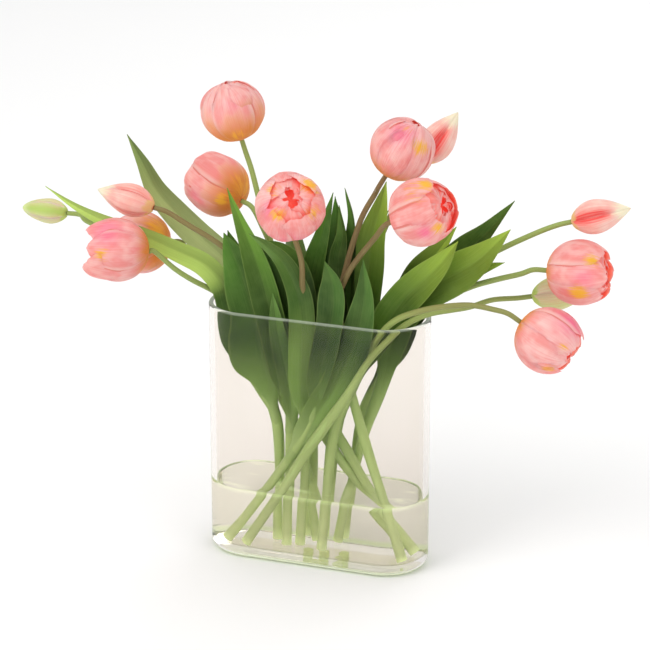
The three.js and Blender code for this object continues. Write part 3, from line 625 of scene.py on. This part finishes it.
def stem_shape(route, facing, brown, neck):
    """A tube about the smooth course: its radius falls with the root of the way along and swells as a
    bell where the leaves clasp it. Soft ridges run its length, and both ends are drawn in over two rings."""
    route = np.array(route, float)
    facing = unit(np.array(facing, float))
    lean = unit(route[1] - route[0])
    route[0, 2] += FOOT_RADIUS * np.sqrt(1 - lean[2] ** 2)
    base = route[-1]
    route = np.vstack([route[:-1], base - neck * facing, base - 0.3 * facing])
    steps = SPAN_STEPS * (len(route) - 1)
    t = np.concatenate([[0, 0], np.linspace(0, 1, steps), [1, 1]])
    middle, course = through(route, t)
    side = unit(np.cross(course, [0, 1, 0]))
    other = np.cross(course, side)
    angle = np.linspace(0, 2 * np.pi, AROUND, endpoint=False)
    radius = FOOT_RADIUS + (NECK_RADIUS - FOOT_RADIUS) * np.sqrt(t)
    radius[:2] *= (0.35, 0.85)
    radius[-2:] *= (0.85, 0.35)
    height = middle[:, 2]
    sheathed = 0.16 + 0.34 * np.exp(-((height - CLASP_HEIGHT) / CLASP_SPAN) ** 2)
    sheathed = sheathed * (1 - smooth(height, 150, 205))
    radius = (radius * (1 + sheathed))[:, None] * (1 + 0.035 * np.cos(5 * angle + 6 * t[:, None]))
    rings = (middle[:, None] + radius[..., None] * (np.cos(angle)[:, None] * side[:, None]
                                                     + np.sin(angle)[:, None] * other[:, None]))
    z = middle[:, 2:3]
    tone = toward(colour("e4f0b8"), "bfda8c", smooth(z, 10, 120))
    tone = toward(tone, "98a860", smooth(z, 165, 225))
    tone = toward(tone, "84634a", brown * smooth(z, 232, 258))
    tint = np.broadcast_to(tone[:, None], (*rings.shape[:2], 3))
    # How strongly the stem glows with painted light: most at the foot, faintly up to the water line, not
    # above.
    painted_water_glow = 1 - 0.8 * smooth(z, 9.6, 16) - 0.2 * smooth(z, 56, 68)
    t = t[:, None]
    notes = notes_of(rings.shape[:2], (angle * 3.5, t * 300, brown * 3), (painted_water_glow, 0, 0), tint, (0.5, t, 1))
    return drum(rings, notes)

# %% [markdown]
# ## Leaves
#
# A leaf starts as a narrow sheath that clasps its stem, opens into a long strap and ends in a point. Its
# cross section is a shallow trough along the midrib, its edges wave a little, and it turns as it climbs.
# All of that is a function of two numbers: the share along the leaf, and the share across it. Low in the
# vase, and at its root, a leaf takes the pale green of the stems.

# %% Leaf shapes
# A belly colour and a tip colour for each kind of leaf. The darker bellies are partly the leaf's own colour
# and partly painted shade deep in the bunch, and the lighter tips are partly painted light.
TINTS = {
    "dark": ("1b3608", "3a5b16"), "deep": ("25450f", "447020"), "mid": ("2f5012", "648e2e"),
    "fresh": ("48691e", "93b03e"), "grey": ("30501f", "5b803b"), "blue": ("26441b", "456a2a"),
    "pale": ("c3d090", "72864a"), "bright": ("2a4812", "abc562"),
}
SHEATH, SHEATH_RADIUS, SHEATH_CLEAR, SHEATH_TURN = 9.0, 5.0, 4.2, 2.1
LEAF_GRID = (64, 19)


def leaf_half(leaf, t):
    """Half the blade's width along it: from the sheath's width it rises as the square of a sine to the
    power `full`, up to the widest place, and from there it falls as a parabola to the tip."""
    narrow = SHEATH / leaf["width"]
    swelling = (1 - narrow) * np.sin(np.pi / 2 * np.minimum(t / leaf["widest"], 1)) ** 2
    rise = narrow * (0.45 + 0.55 * smooth(t, 0.0, 0.1)) + swelling ** leaf.get("full", 0.75)
    fall = 1 - (np.maximum(t - leaf["widest"], 0) / (1 - leaf["widest"])) ** 2
    return np.maximum(leaf["width"] * np.where(t < leaf["widest"], np.minimum(rise, 1), fall), 0.7) / 2


def leaf_tint(leaf, seed, t, s, z):
    """The blade's colour: from the belly's to the tip's, partly its own and partly painted shade deep in
    the bunch and painted light on the tip, paler low in the vase and at the root, with one half of the
    blade lighter than the other and soft bands along it, painted light and shade of a folded blade."""
    belly, tip = TINTS[leaf["tint"]]
    begin, end = (0.42, 0.62) if leaf["tint"] == "bright" else (0.45, 1.0)
    tone = toward(colour(belly), tip, smooth(t, begin, end))
    tone = toward(tone, "88ad58", 0.9 * (1 - smooth(z - leaf.get("dawn", 0), 130, 205)))
    tone = toward(tone, "c0d996", 0.9 * (1 - smooth(z, 92, 150)))
    tone = toward(tone, "b4cf84", 1 - smooth(t, 0.0, 0.24))
    # Painted light and shade: one half of the folded blade lighter than the other, as if lit from one side,
    # and soft lighter and darker bands along it.
    painted_fold_light = 1 + 0.2 * np.sign(np.sin(5 * seed + 1)) * np.tanh(s / 0.12)
    painted_fold_light = painted_fold_light * (1 + 0.09 * np.sin(9 * t + 2.5 * s + 7 * seed))
    return tone[:, None] * (1 + (painted_fold_light - 1) * smooth(t, 0.1, 0.35))[..., None]


def leaf_shape(leaf, seed, stem):
    """A blade about its course. Across, it is lifted as |s| to the power 1.5, with a groove at the midrib
    and waves that grow towards the edges. Near its root it is bent round its stem as an arc, on the side
    where its course leaves the stem, and the arc opens into the blade."""
    t = np.linspace(0, 1, LEAF_GRID[0])
    s = np.linspace(-1, 1, LEAF_GRID[1])
    centre, course = through(leaf["route"], t)
    t = t[:, None]
    root_face, tip_face = np.array(leaf["face"], float)
    side = unit(np.cross(course, root_face * (1 - t) + tip_face * t))
    up = unit(np.cross(side, course))
    half = leaf_half(leaf, t)
    wave = 0.09 * half * np.sin(2 * np.pi * (2.3 * t + 0.31 * seed) + 1.3 * np.sign(s)) * np.abs(s) ** 3
    trough = leaf["cup"] * half * (2 * np.abs(s) ** 1.5 - 0.6)
    groove = -0.35 * np.exp(-(s / 0.06) ** 2) * smooth(half, 2, 6)
    lift = trough + (wave + groove) * smooth(t, 0.12, 0.4)
    hand, size, low, high = leaf.get("lobe", (1, 0, 0.3, 0.6))
    lobe = size * smooth(t, low, low + 0.09) * (1 - smooth(t, high - 0.12, high + 0.12))
    reach = s * half * (1 + lobe * (s * hand > 0))
    held = stem[np.linalg.norm(centre[:, None] - stem, axis=2).argmin(axis=1)]
    apart = ((centre - held) * up).sum(axis=1, keepdims=True)
    before = np.sign(apart[8:18].mean())
    clasp = 1 - smooth(t, 0.04, leaf.get("opens", 0.3))
    pushed = np.maximum(SHEATH_CLEAR - apart * before, 0) * before * (1 - smooth(t, 0.4, 0.6))
    centre = centre + up * pushed * (1 - clasp)
    arc = SHEATH_RADIUS - 1.4 + 1.4 * smooth(t, 0, 0.08)
    reach = reach * (1 - clasp) + clasp * arc * np.sin(SHEATH_TURN * s)
    lift = lift * (1 - clasp) + clasp * arc * np.cos(SHEATH_TURN * s) * before
    centre = centre + (held - centre) * clasp
    middle = centre[:, None] + side[:, None] * reach[..., None] + up[:, None] * lift[..., None]
    length = np.linalg.norm(np.diff(centre, axis=0), axis=1).sum()
    notes = notes_of(middle.shape[:2], (s * half, t * length, seed * 1.7), (0, 0, 0),
                     leaf_tint(leaf, seed, t, s, centre[:, 2:3]), (s, t, 1))
    return blade(middle, 0.45 * (1 - np.abs(s) ** 4), notes)

# %% [markdown]
# ## Double blooms
#
# A double bloom is a ball of broad petals: three outer ones, three behind their gaps, and rounds of
# smaller ones that fold over the heart. Each petal is a patch of a globe between its root and its
# margin. One side edge lies outside its neighbour and the other inside, which gives the spiral seams
# seen from the side. The margin is lower at the petal's corners, and ragged, so the opening is scalloped.

# %% Petal shape
BLOOM_RADIUS, BLOOM_TOP = 27.2, 50.0
PETAL_GRID = (27, 23)


def about_axis(reach, angle, z):
    """Points at a reach from the upright axis, at an angle round it and at a height."""
    return np.stack(np.broadcast_arrays(reach * np.cos(angle), reach * np.sin(angle), z), -1)


def spots(points, patches):
    """How strongly each point lies in the named patches: a bell about each patch's place on the bloom's
    globe, given as azimuth and polar angle in degrees, breadth in millimetres and strength."""
    strength = np.zeros(points.shape[:-1])
    for azimuth, polar, breadth, power in patches:
        azimuth, polar = np.radians([azimuth, polar])
        reach = BLOOM_RADIUS * np.sin(polar) ** 0.9
        height = BLOOM_TOP * (1 - np.cos(polar)) / 1.75
        far = np.linalg.norm(points - about_axis(reach, azimuth, height), axis=-1)
        strength = np.maximum(strength, power * np.exp(-(far / breadth) ** 2))
    return strength


def petal_shape(tulip, kind, azimuth, radius, top, lip, rise, seed):
    """A petal on a globe: the polar angle runs from the root to a margin that falls away at the corners
    with |a| to the power 2.4. The reach from the axis is the globe's, with edges that hug the next round,
    soft folds along and a lip that leans out. The margin's height is the same however far the petal opens."""
    s = np.linspace(0, 1, PETAL_GRID[0])[:, None]
    a = np.sin(np.linspace(-1, 1, PETAL_GRID[1]) * np.pi / 2)[None, :]
    root, close, folds = kind["root"], kind["close"], kind["folds"]
    ragged = 0.03 * np.sin(7 * a + seed) + 0.018 * np.sin(17 * a + 2.1 * seed)
    margin = np.minimum(close - kind["corner"] * np.abs(a) ** 2.4 + ragged, 3.1)
    polar = root + (margin - root) * s
    width = 0.5 + 0.5 * np.sin(np.pi / 2 * np.minimum(s / 0.55, 1)) - 0.1 * smooth(s, 0.7, 1.0)
    angle = azimuth + kind["spread"] * width * a + 0.025 * np.sin(5 * s + seed)
    ripple = folds * np.sin(np.pi * s) * np.cos(4.2 * a + seed)
    ripple = ripple + folds * 1.2 * s**5 * np.sin(5.5 * a + 1.7 * seed)
    keel = 0.5 * np.exp(-(a / 0.12) ** 2) * np.sin(np.pi * s)
    reach = radius * np.sin(polar) ** 0.9 + ripple + keel + lip * smooth(s, 0.7, 1.0)
    reach = reach - kind["hug"] * smooth(np.abs(a), 0.55, 1.0) * smooth(polar, 0.3, 0.9)
    reach = np.maximum(reach, 0.8)
    z = top * ((1 - np.cos(polar)) / (1 - np.cos(close))) ** kind["full"]
    z = z + 0.8 * folds * s**4 * np.cos(5 * a + seed) + rise * smooth(s, 0.6, 1.0) * (1 - np.abs(a) ** 2)
    middle = about_axis(reach, angle, z)
    thick = 0.42 * (1 - np.abs(a) ** 6) * (1 - 0.6 * s**3)
    yellow, magenta = spots(middle, tulip["yellow"]), spots(middle, tulip["magenta"])
    notes = notes_of(middle.shape[:2], (a * radius, s * 60, seed), (yellow, magenta, kind["depth"]),
                     (tulip["base"], 0.3 * np.sin(3 * seed), 0), (a, s, 1))
    return blade(middle, thick, notes)


def heart_shape(red):
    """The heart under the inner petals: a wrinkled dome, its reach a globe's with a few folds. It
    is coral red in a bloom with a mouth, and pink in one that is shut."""
    theta = np.linspace(0, 2 * np.pi, 60, endpoint=False)[None, :]
    polar = np.linspace(0.5, 3.05, 26)[:, None]
    wrinkle = 1 + 0.07 * np.sin(5 * theta + 4 * polar) + 0.04 * np.sin(11 * theta - 5 * polar)
    reach = 19.5 * np.sin(polar) ** 0.8 * wrinkle
    z = 6 + 37 * (1 - np.cos(polar)) / 2 + 1.2 * np.sin(3 * theta + 6 * polar) * smooth(polar, 1.6, 2.4)
    rings = about_axis(reach, theta, z)
    # red also makes the heart glow coral with the petals' painted light.
    return drum(rings, notes_of(rings.shape[:2], (theta * 15, polar * 20, 3), (0, 0, red), 0, (0, 0, 1)))


def turned_to(shape, facing, base):
    """A shape built upright, turned by the shortest way so that +Z looks along facing, and moved."""
    points, faces, notes = shape
    turn = Vector((0, 0, 1)).rotation_difference(Vector(facing).normalized()).to_matrix()
    return points @ np.array(turn).T + np.array(base, float), faces, notes

# %% Bloom shape
def bloom_shapes(tulip):
    """Six rounds of petals over a packed heart. The outer six are broad and smooth and leave a mouth. In
    it three crumpled petals fold inwards, two more close over the middle from both sides of one slit, and
    the small ones in the slit bring up the coral red from deep inside."""
    rng = np.random.default_rng(int(tulip["id"]))
    wide, turn, slit = tulip["open"], tulip["turn"], np.radians(tulip["slit"])
    corner, deep, red = tulip.get("corner", 0.5), tulip.get("deep", 0), float(wide > 0)
    # depth deepens the coral towards the heart and also sets how much the petals there glow with painted
    # light.
    rounds = [
        dict(count=3, inset=0.0, root=0.04, close=3.0 - wide, corner=corner, spread=0.8, first=turn, hug=0.8,
             folds=0.4, depth=0, sink=0, full=1.0),
        dict(count=3, inset=0.9, root=0.06, close=2.98 - 0.95 * wide, corner=corner, spread=1.02,
             first=turn + np.pi / 3, hug=0.6, folds=0.4, depth=0, sink=0, full=1.0),
        dict(count=3, inset=2.6, root=0.3, close=2.9 - 0.15 * wide, corner=0.35, spread=1.05,
             first=turn + 0.35, hug=0.8, folds=1.2, depth=0.35 * red, sink=0.8 + deep, full=0.7),
        dict(count=2, inset=4.6, root=0.5, close=3.0, corner=0.3, spread=1.5, first=slit + np.pi / 2,
             hug=0.3, folds=1.6, depth=0.5 * red, sink=1.6 + deep, full=0.6),
        dict(count=2, inset=8.0, root=0.5, close=2.9, corner=0.5, spread=1.2, first=slit + 0.6,
             hug=0, folds=1.8, depth=0.6 * red, sink=2.2 + deep, full=0.6),
        dict(count=3, inset=12.0, root=0.5, close=2.6, corner=0.4, spread=0.9, first=slit,
             hug=0, folds=1.6, depth=0.85, sink=3.2 + deep, full=0.6),
    ]
    shapes = [heart_shape(red)]
    for number, kind in enumerate(rounds):
        for k in range(kind["count"]):
            nudge = rng.uniform(-1, 1, 4)
            azimuth = kind["first"] + 2 * np.pi * k / kind["count"] + 0.05 * nudge[0]
            lip, rise = tulip.get("lips", {}).get(3 * number + k, (0, 0)) if number < 2 else (0, 0)
            made = dict(kind, close=min(kind["close"] + 0.06 * nudge[3], 3.05))
            radius = tulip.get("swell", 1) * BLOOM_RADIUS - kind["inset"] + 0.3 * nudge[1]
            shapes.append(petal_shape(tulip, made, azimuth, radius, BLOOM_TOP - kind["sink"] + nudge[2],
                                      lip, rise, rng.uniform(0, 6.28)))
    return [turned_to(shape, tulip["facing"], tulip["route"][-1]) for shape in shapes]

# %% [markdown]
# ## Buds
#
# A closed bud is a pointed egg wrapped in three petals. Between two of them runs a deep groove, and the
# pink is strongest there, because the edges that dive in are the youngest. Each petal is a third of the
# egg with its sides turned in, over a plain core that keeps the grooves closed.

# %% Bud shapes
BUD_RADIUS, BUD_LENGTH = 14.2, 52.0
BUD_GRID = (40, 23)


def egg(s):
    """The bud's reach from its axis: a sine pushed towards the base, drawn out to a point at the tip."""
    return np.sin(np.pi * (0.07 + 0.925 * s**0.82))


def bud_shapes(tulip):
    """Three wrapped petals and the core inside them."""
    shapes = []
    s = np.linspace(0, 1, BUD_GRID[0])[:, None]
    a = np.linspace(-1, 1, BUD_GRID[1])[None, :]
    green, size, blunt = tulip["green"], tulip.get("size", 1.0), tulip.get("blunt", 0.0)
    slim = 0.93 if blunt else 1.0
    for k in range(3):
        seam = tulip["turn"] + 2 * np.pi * k / 3
        angle = seam + np.pi / 3 + (np.pi / 3 + 0.06) * a
        groove = smooth(np.abs(a), 0.4, 1.0) * smooth(s, 0.02, 0.14) * (1 - smooth(s, 0.55, 0.92))
        rib = 0.03 * np.exp(-(a / 0.14) ** 2)
        plump = slim * egg(s) ** (1 - blunt * smooth(s, 0.3, 0.8)) * (1 - 0.36 * groove + rib)
        reach = size * BUD_RADIUS * (plump + 0.02 * a * np.sin(np.pi * s))
        middle = about_axis(reach, angle, size * (BUD_LENGTH * s - 0.8 * smooth(np.abs(a), 0.5, 1.0)))
        thick = 0.4 * (1 - np.abs(a) ** 5) * (1 - 0.5 * s**3)
        flushed = tulip.get("flush", 1.2) * smooth(np.abs(a), 0.3, 0.8)
        flushed = flushed * smooth(s, 0.0, 0.1) * (1 - smooth(s, 0.5, 0.88))
        if green > 0.5:
            flushed = 0.8 * smooth(np.abs(a), 0.5, 0.95)
        stripe = green * (0.25 + 0.75 * np.exp(-(a / 0.5) ** 2)) * (1 - 0.6 * smooth(s, 0.7, 1.0))
        marks = (smooth(s, 0.62, 0.98), flushed, stripe)
        notes = notes_of(middle.shape[:2], (a * 15, s * 55, k * 1.3), marks, (0.2, 0, 0), (a, s, 1))
        shapes.append(blade(middle, thick, notes))
    around = np.linspace(0, 2 * np.pi, 24, endpoint=False)
    s = np.linspace(0.03, 0.93, 20)[:, None]
    rings = about_axis(0.68 * size * BUD_RADIUS * egg(s), around, size * BUD_LENGTH * s)
    notes = notes_of(rings.shape[:2], (around * 10, s * 55, 4), (0, 1, 0), (0.2, 0, 0), (0, s, 1))
    shapes.append(drum(rings, notes))
    return [turned_to(shape, tulip["facing"], tulip["route"][-1]) for shape in shapes]

# %% Grow every tulip
for number, tulip in enumerate(TULIPS):
    name = tulip["id"]
    route = tulip["route"]
    stem = stem_shape(route, tulip["facing"], tulip.get("brown", 0.0), tulip.get("neck", NECK_STRAIGHT))
    line = through(route, np.linspace(0, 1, 240))[0]
    leaves = [leaf_shape(leaf, number + 0.37 * k, line) for k, leaf in enumerate(tulip["leaves"])]
    make_piece("leaves_" + name, [stem, *leaves], leaf_green, "leafy_stem_" + name)
    if tulip["head"] == "bloom":
        make_piece("petals_" + name, bloom_shapes(tulip), petal_pink, "bloom_" + name)
    else:
        green = tulip["green"] > 0.5
        make_piece("bud_petals_" + name, bud_shapes(tulip), petal_green if green else petal_pale,
                   "bud_" + name)

# %% [markdown]
# ## The vase
#
# The vase is one piece of thick clear glass, pressed flat front and back with full round ends. The wall
# could be a curve with a Solidify, but the real wall is not even: its inside ripples faintly, which is
# what draws the soft upright streaks. So the skin is a stack of outlines, up the outside, over the
# rounded lip, down the rippled inside and across the floor.

# %% Vase shape
WIDTH, DEPTH, HEIGHT, WALL, FLOOR = 200.0, 78.0, 230.0, 4.5, 9.0
HEEL, INNER_HEEL, WATER_LEVEL = 7.5, 3.0, 64.0
PLAN = 240


def plan_ring(inset, z):
    """The oval plan drawn in by an inset: points at even steps along two straights and two half circles."""
    radius = DEPTH / 2 - inset
    straight = WIDTH - DEPTH
    arc = np.pi * radius
    walk = np.linspace(0, 2 * straight + 2 * np.pi * radius, PLAN, endpoint=False)
    right, left = (walk - straight) / radius - np.pi / 2, (walk - 2 * straight - arc) / radius + np.pi / 2
    parts = [walk < straight, walk < straight + arc, walk < 2 * straight + arc]
    x = np.select(parts, [walk - straight / 2, straight / 2 + radius * np.cos(right),
                          straight / 2 - (walk - straight - arc)], -straight / 2 + radius * np.cos(left))
    y = np.select(parts, [-radius, radius * np.sin(right), radius], radius * np.sin(left))
    return np.stack([x, y, np.full(PLAN, z)], -1)


def wall_rings():
    """Outline after outline: heel, outer wall, lip, inner wall, inner heel. Each is [inset, height]."""
    a = np.radians(np.linspace(0, 90, 9))
    heel = np.stack([HEEL * (1 - np.sin(a)), HEEL * (1 - np.cos(a))], -1)
    outer = np.stack([np.zeros(30), np.linspace(12, 222, 30)], -1)
    b = np.radians(np.linspace(0, 180, 13))
    lip = np.stack([WALL / 2 * (1 - np.cos(b)), HEIGHT - WALL / 2 + WALL / 2 * np.sin(b)], -1)
    inner = np.stack([np.full(40, WALL), np.linspace(222, 16, 40)], -1)
    c = np.radians(np.linspace(0, 90, 7))
    floor = np.stack([WALL + INNER_HEEL * (1 - np.cos(c)), FLOOR + INNER_HEEL * (1 - np.sin(c))], -1)
    return np.vstack([[[HEEL + 8, 0.0]], heel, outer, lip, inner, floor, [[WALL + INNER_HEEL + 8, FLOOR]]])


profile = wall_rings()
rings = np.stack([plan_ring(inset, z) for inset, z in profile])
ripple = smooth(profile[:, 1], 14, 40) * (1 - smooth(profile[:, 1], 205, 226))
ripple = ripple * (profile[:, 0] >= WALL - 0.01)
walk = np.linspace(0, 2 * np.pi, PLAN, endpoint=False)
wave = 0.10 * np.sin(9 * walk + 0.6) + 0.08 * np.sin(17 * walk + 0.004 * profile[:, 1:2])
wave = wave + 0.04 * np.sin(31 * walk)
outwards = unit(rings[:, :, :2] * np.array([0.2, 1.0]))
rings[:, :, :2] += outwards * (wave * ripple[:, None])[..., None]
# lip and heel mark where the glass finish paints its rim line and heel line, with painted shade and glow.
lip = smooth(profile[:, 1:], 227.9, 229.3)
heel = (1 - smooth(profile[:, 1:], 1.5, 5.0)) * (1 - smooth(profile[:, :1], 4.0, 7.0))
clear = notes_of(rings.shape[:2], (0, 0, 0), (lip, heel, 0), 0.9, (0, 0, 1))

# %% [markdown]
# ## Glass and water finish
#
# Clear glass needs little: a plain transmission, a faint warm green from the iron in it, and an almost
# perfect polish with a few soft smears. Its lip is a darker grey-green line that glows softly, painted
# shade and painted light for what the rounded lip bends and reflects. Its heel is a green line that
# glows faintly, partly the glass's own green seen through its thick edge and partly painted light. The
# water reaches a third of a millimetre into the wall. With no air between them, light passes from glass
# to water as it does in a real vase. Where it meets the glass it creeps up a little, and a painted glow
# along that rim draws the pale line round its surface. Painted streaks of light glow on the surface
# itself.

# %% Glass and water materials
glass, tree, shader = finish("clear_glass", Roughness=0.0, IOR=1.2, Transmission_Weight=1.0,
                             Emission_Strength=1.0)
spot = add(tree, "ShaderNodeTexCoord").outputs["Object"]
smear = grain(tree, spot, 14.0, 3.0)
clear_tone = blend(tree, ramp(tree, smear, 0.35, 0.7), (0.95, 0.915, 0.88), (0.945, 0.915, 0.88))
_, (lip, heel, _) = reader(tree, "marks")
# The lip's painted rim line, darker and glowing softly, and the heel's green line with a faint painted glow.
rimmed = blend(tree, lip, clear_tone, (0.45, 0.47, 0.41))
join(tree, blend(tree, heel, rimmed, (0.66, 0.76, 0.46)), shader, "Base Color")
painted_glow = blend(tree, lip, BLACK, (0.24, 0.26, 0.22))
join(tree, blend(tree, heel, painted_glow, (0.09, 0.13, 0.05)), shader, "Emission Color")
join(tree, ramp(tree, smear, 0.5, 0.9, 0.0, 0.02), shader, "Roughness")
water, tree, shader = finish("water", Roughness=0.0, IOR=1.16, Transmission_Weight=1.0,
                             Emission_Strength=1.0)
spot = add(tree, "ShaderNodeTexCoord").outputs["Object"]
cloud = grain(tree, spot, 20.0, 2.0)
join(tree, blend(tree, cloud, (0.94, 0.95, 0.87), (0.96, 0.965, 0.90)), shader, "Base Color")
_, (line, top, _) = reader(tree, "marks")
# Painted light on the water: streaks that glow on its surface and a glow along the creeping rim at its line.
stretched = add(tree, "ShaderNodeVectorMath", {0: spot, 1: (22, 70, 30)}, operation="MULTIPLY").outputs[0]
painted_streaks = times(tree, ramp(tree, grain(tree, stretched, 1.0, 3.0, 0.6), 0.52, 0.7), top)
painted_glow = blend(tree, line, BLACK, (0.20, 0.24, 0.14))
join(tree, blend(tree, painted_streaks, painted_glow, (0.16, 0.19, 0.12)), shader, "Emission Color")
join(tree, ramp(tree, cloud, 0.0, 1.0, 0.0, 0.01), shader, "Roughness")

make_piece("glass_vase", [drum(rings, clear)], glass, "vase")

# %% Water shape
SUNK, CREEP_WIDE, CREEP_HIGH, TOP_RINGS = 0.35, 4.5, 0.8, 8
inset = WALL - SUNK
levels = [(inset + 10, FLOOR - 0.1), (inset + 3, FLOOR - 0.1), (inset + 0.9, FLOOR + 0.8), (inset, FLOOR + 3)]
levels += [(inset, z) for z in np.linspace(FLOOR + 6, WATER_LEVEL + CREEP_HIGH, 12)]
creep = [(CREEP_WIDE * u, CREEP_HIGH * (1 - u) ** 2.5) for u in np.linspace(0.15, 1, 7)]
levels += [(inset + far, WATER_LEVEL + high) for far, high in creep]
levels += [(inset + CREEP_WIDE + far, WATER_LEVEL) for far in (4, 8, 16)]
rings = np.stack([plan_ring(i, z) for i, z in levels])
# line marks the creeping rim, which glows with painted light, and top the surface rings with painted streaks.
line = smooth(rings[:, :1, 2], WATER_LEVEL + 0.05, WATER_LEVEL + 0.5)
top = np.arange(len(levels))[:, None] >= len(levels) - TOP_RINGS
clear = notes_of(rings.shape[:2], (0, 0, 0), (line, top, 0), 0.9, (0, 0, 1))
make_piece("water_body", [drum(rings, clear)], water, "water")

# %% [markdown]
# ## Floor and light
#
# The photograph is high key: a white ground, light from all round, and only soft shading. A bright sky
# does most of it, with three large soft lamps for form. The sky is darker to the left and right, low down,
# because clear glass is drawn by what it bends: with nothing dark beside it, its ends would vanish.

# %% Floor, sky and lamps
GROUND_HALF, GROUND_Z = 6, -0.0004
LIT_PLACE = Vector((0, 0, 0.22))
paper, tree, shader = finish("pale_floor", Roughness=0.9, Specular_IOR_Level=0.1)
spot = add(tree, "ShaderNodeTexCoord").outputs["Object"]
join(tree, blend(tree, grain(tree, spot, 3.0), (0.93, 0.93, 0.93), (0.95, 0.95, 0.95)), shader, "Base Color")
ground = bpy.data.meshes.new("floor")
corners = [(x * GROUND_HALF, y * GROUND_HALF, GROUND_Z) for x, y in ((-1, -1), (1, -1), (1, 1), (-1, 1))]
ground.from_pydata(corners, [], [(0, 1, 2, 3)])
ground.materials.append(paper)
floor = placed("floor", ground)

world = bpy.data.worlds.new("studio")
world.use_nodes = True
scene.world = world
tree = world.node_tree
ground_light = tree.nodes["Background"]
way = add(tree, "ShaderNodeSeparateXYZ", {0: add(tree, "ShaderNodeTexCoord").outputs["Generated"]}).outputs
sideways = ramp(tree, maths(tree, "ABSOLUTE", way[0]), 0.72, 0.95)
low_down = ramp(tree, maths(tree, "ABSOLUTE", way[2]), 0.1, 0.5, 1.0, 0.0)
shade = times(tree, sideways, low_down)
around = blend(tree, shade, (0.85, 0.85, 0.85), (0.36, 0.38, 0.33))
ray = add(tree, "ShaderNodeLightPath").outputs
mirrored = times(tree, ray["Is Glossy Ray"], ray["Is Reflection Ray"])
dimmed = blend(tree, times(tree, mirrored, 0.7), around, BLACK)
tree.links.new(blend(tree, ray["Is Camera Ray"], dimmed, (1.0, 1.0, 1.0)), ground_light.inputs[0])
ground_light.inputs[1].default_value = 1.0


def lamp(name, place, size, power, warmth=(1, 1, 1)):
    """A large square soft light that looks at the flowers."""
    made = placed(name, bpy.data.lights.new(name, "AREA"))
    made.data.size, made.data.energy, made.data.color = size, power, warmth
    made.location = place
    made.rotation_euler = (LIT_PLACE - Vector(place)).to_track_quat("-Z", "Y").to_euler()


lamp("key_light", (-1.1, -1.6, 2.1), 1.4, 26, (1, 0.98, 0.95))
lamp("fill_light", (1.8, -1.0, 1.3), 1.6, 9)
lamp("back_light", (0.3, 2.2, 1.7), 1.6, 10)
scene.view_settings.view_transform = "Standard"
scene.cycles.max_bounces = 32
scene.cycles.transmission_bounces = 32
scene.cycles.glossy_bounces = 12
print("a pale floor, a bright sky and three soft lamps")
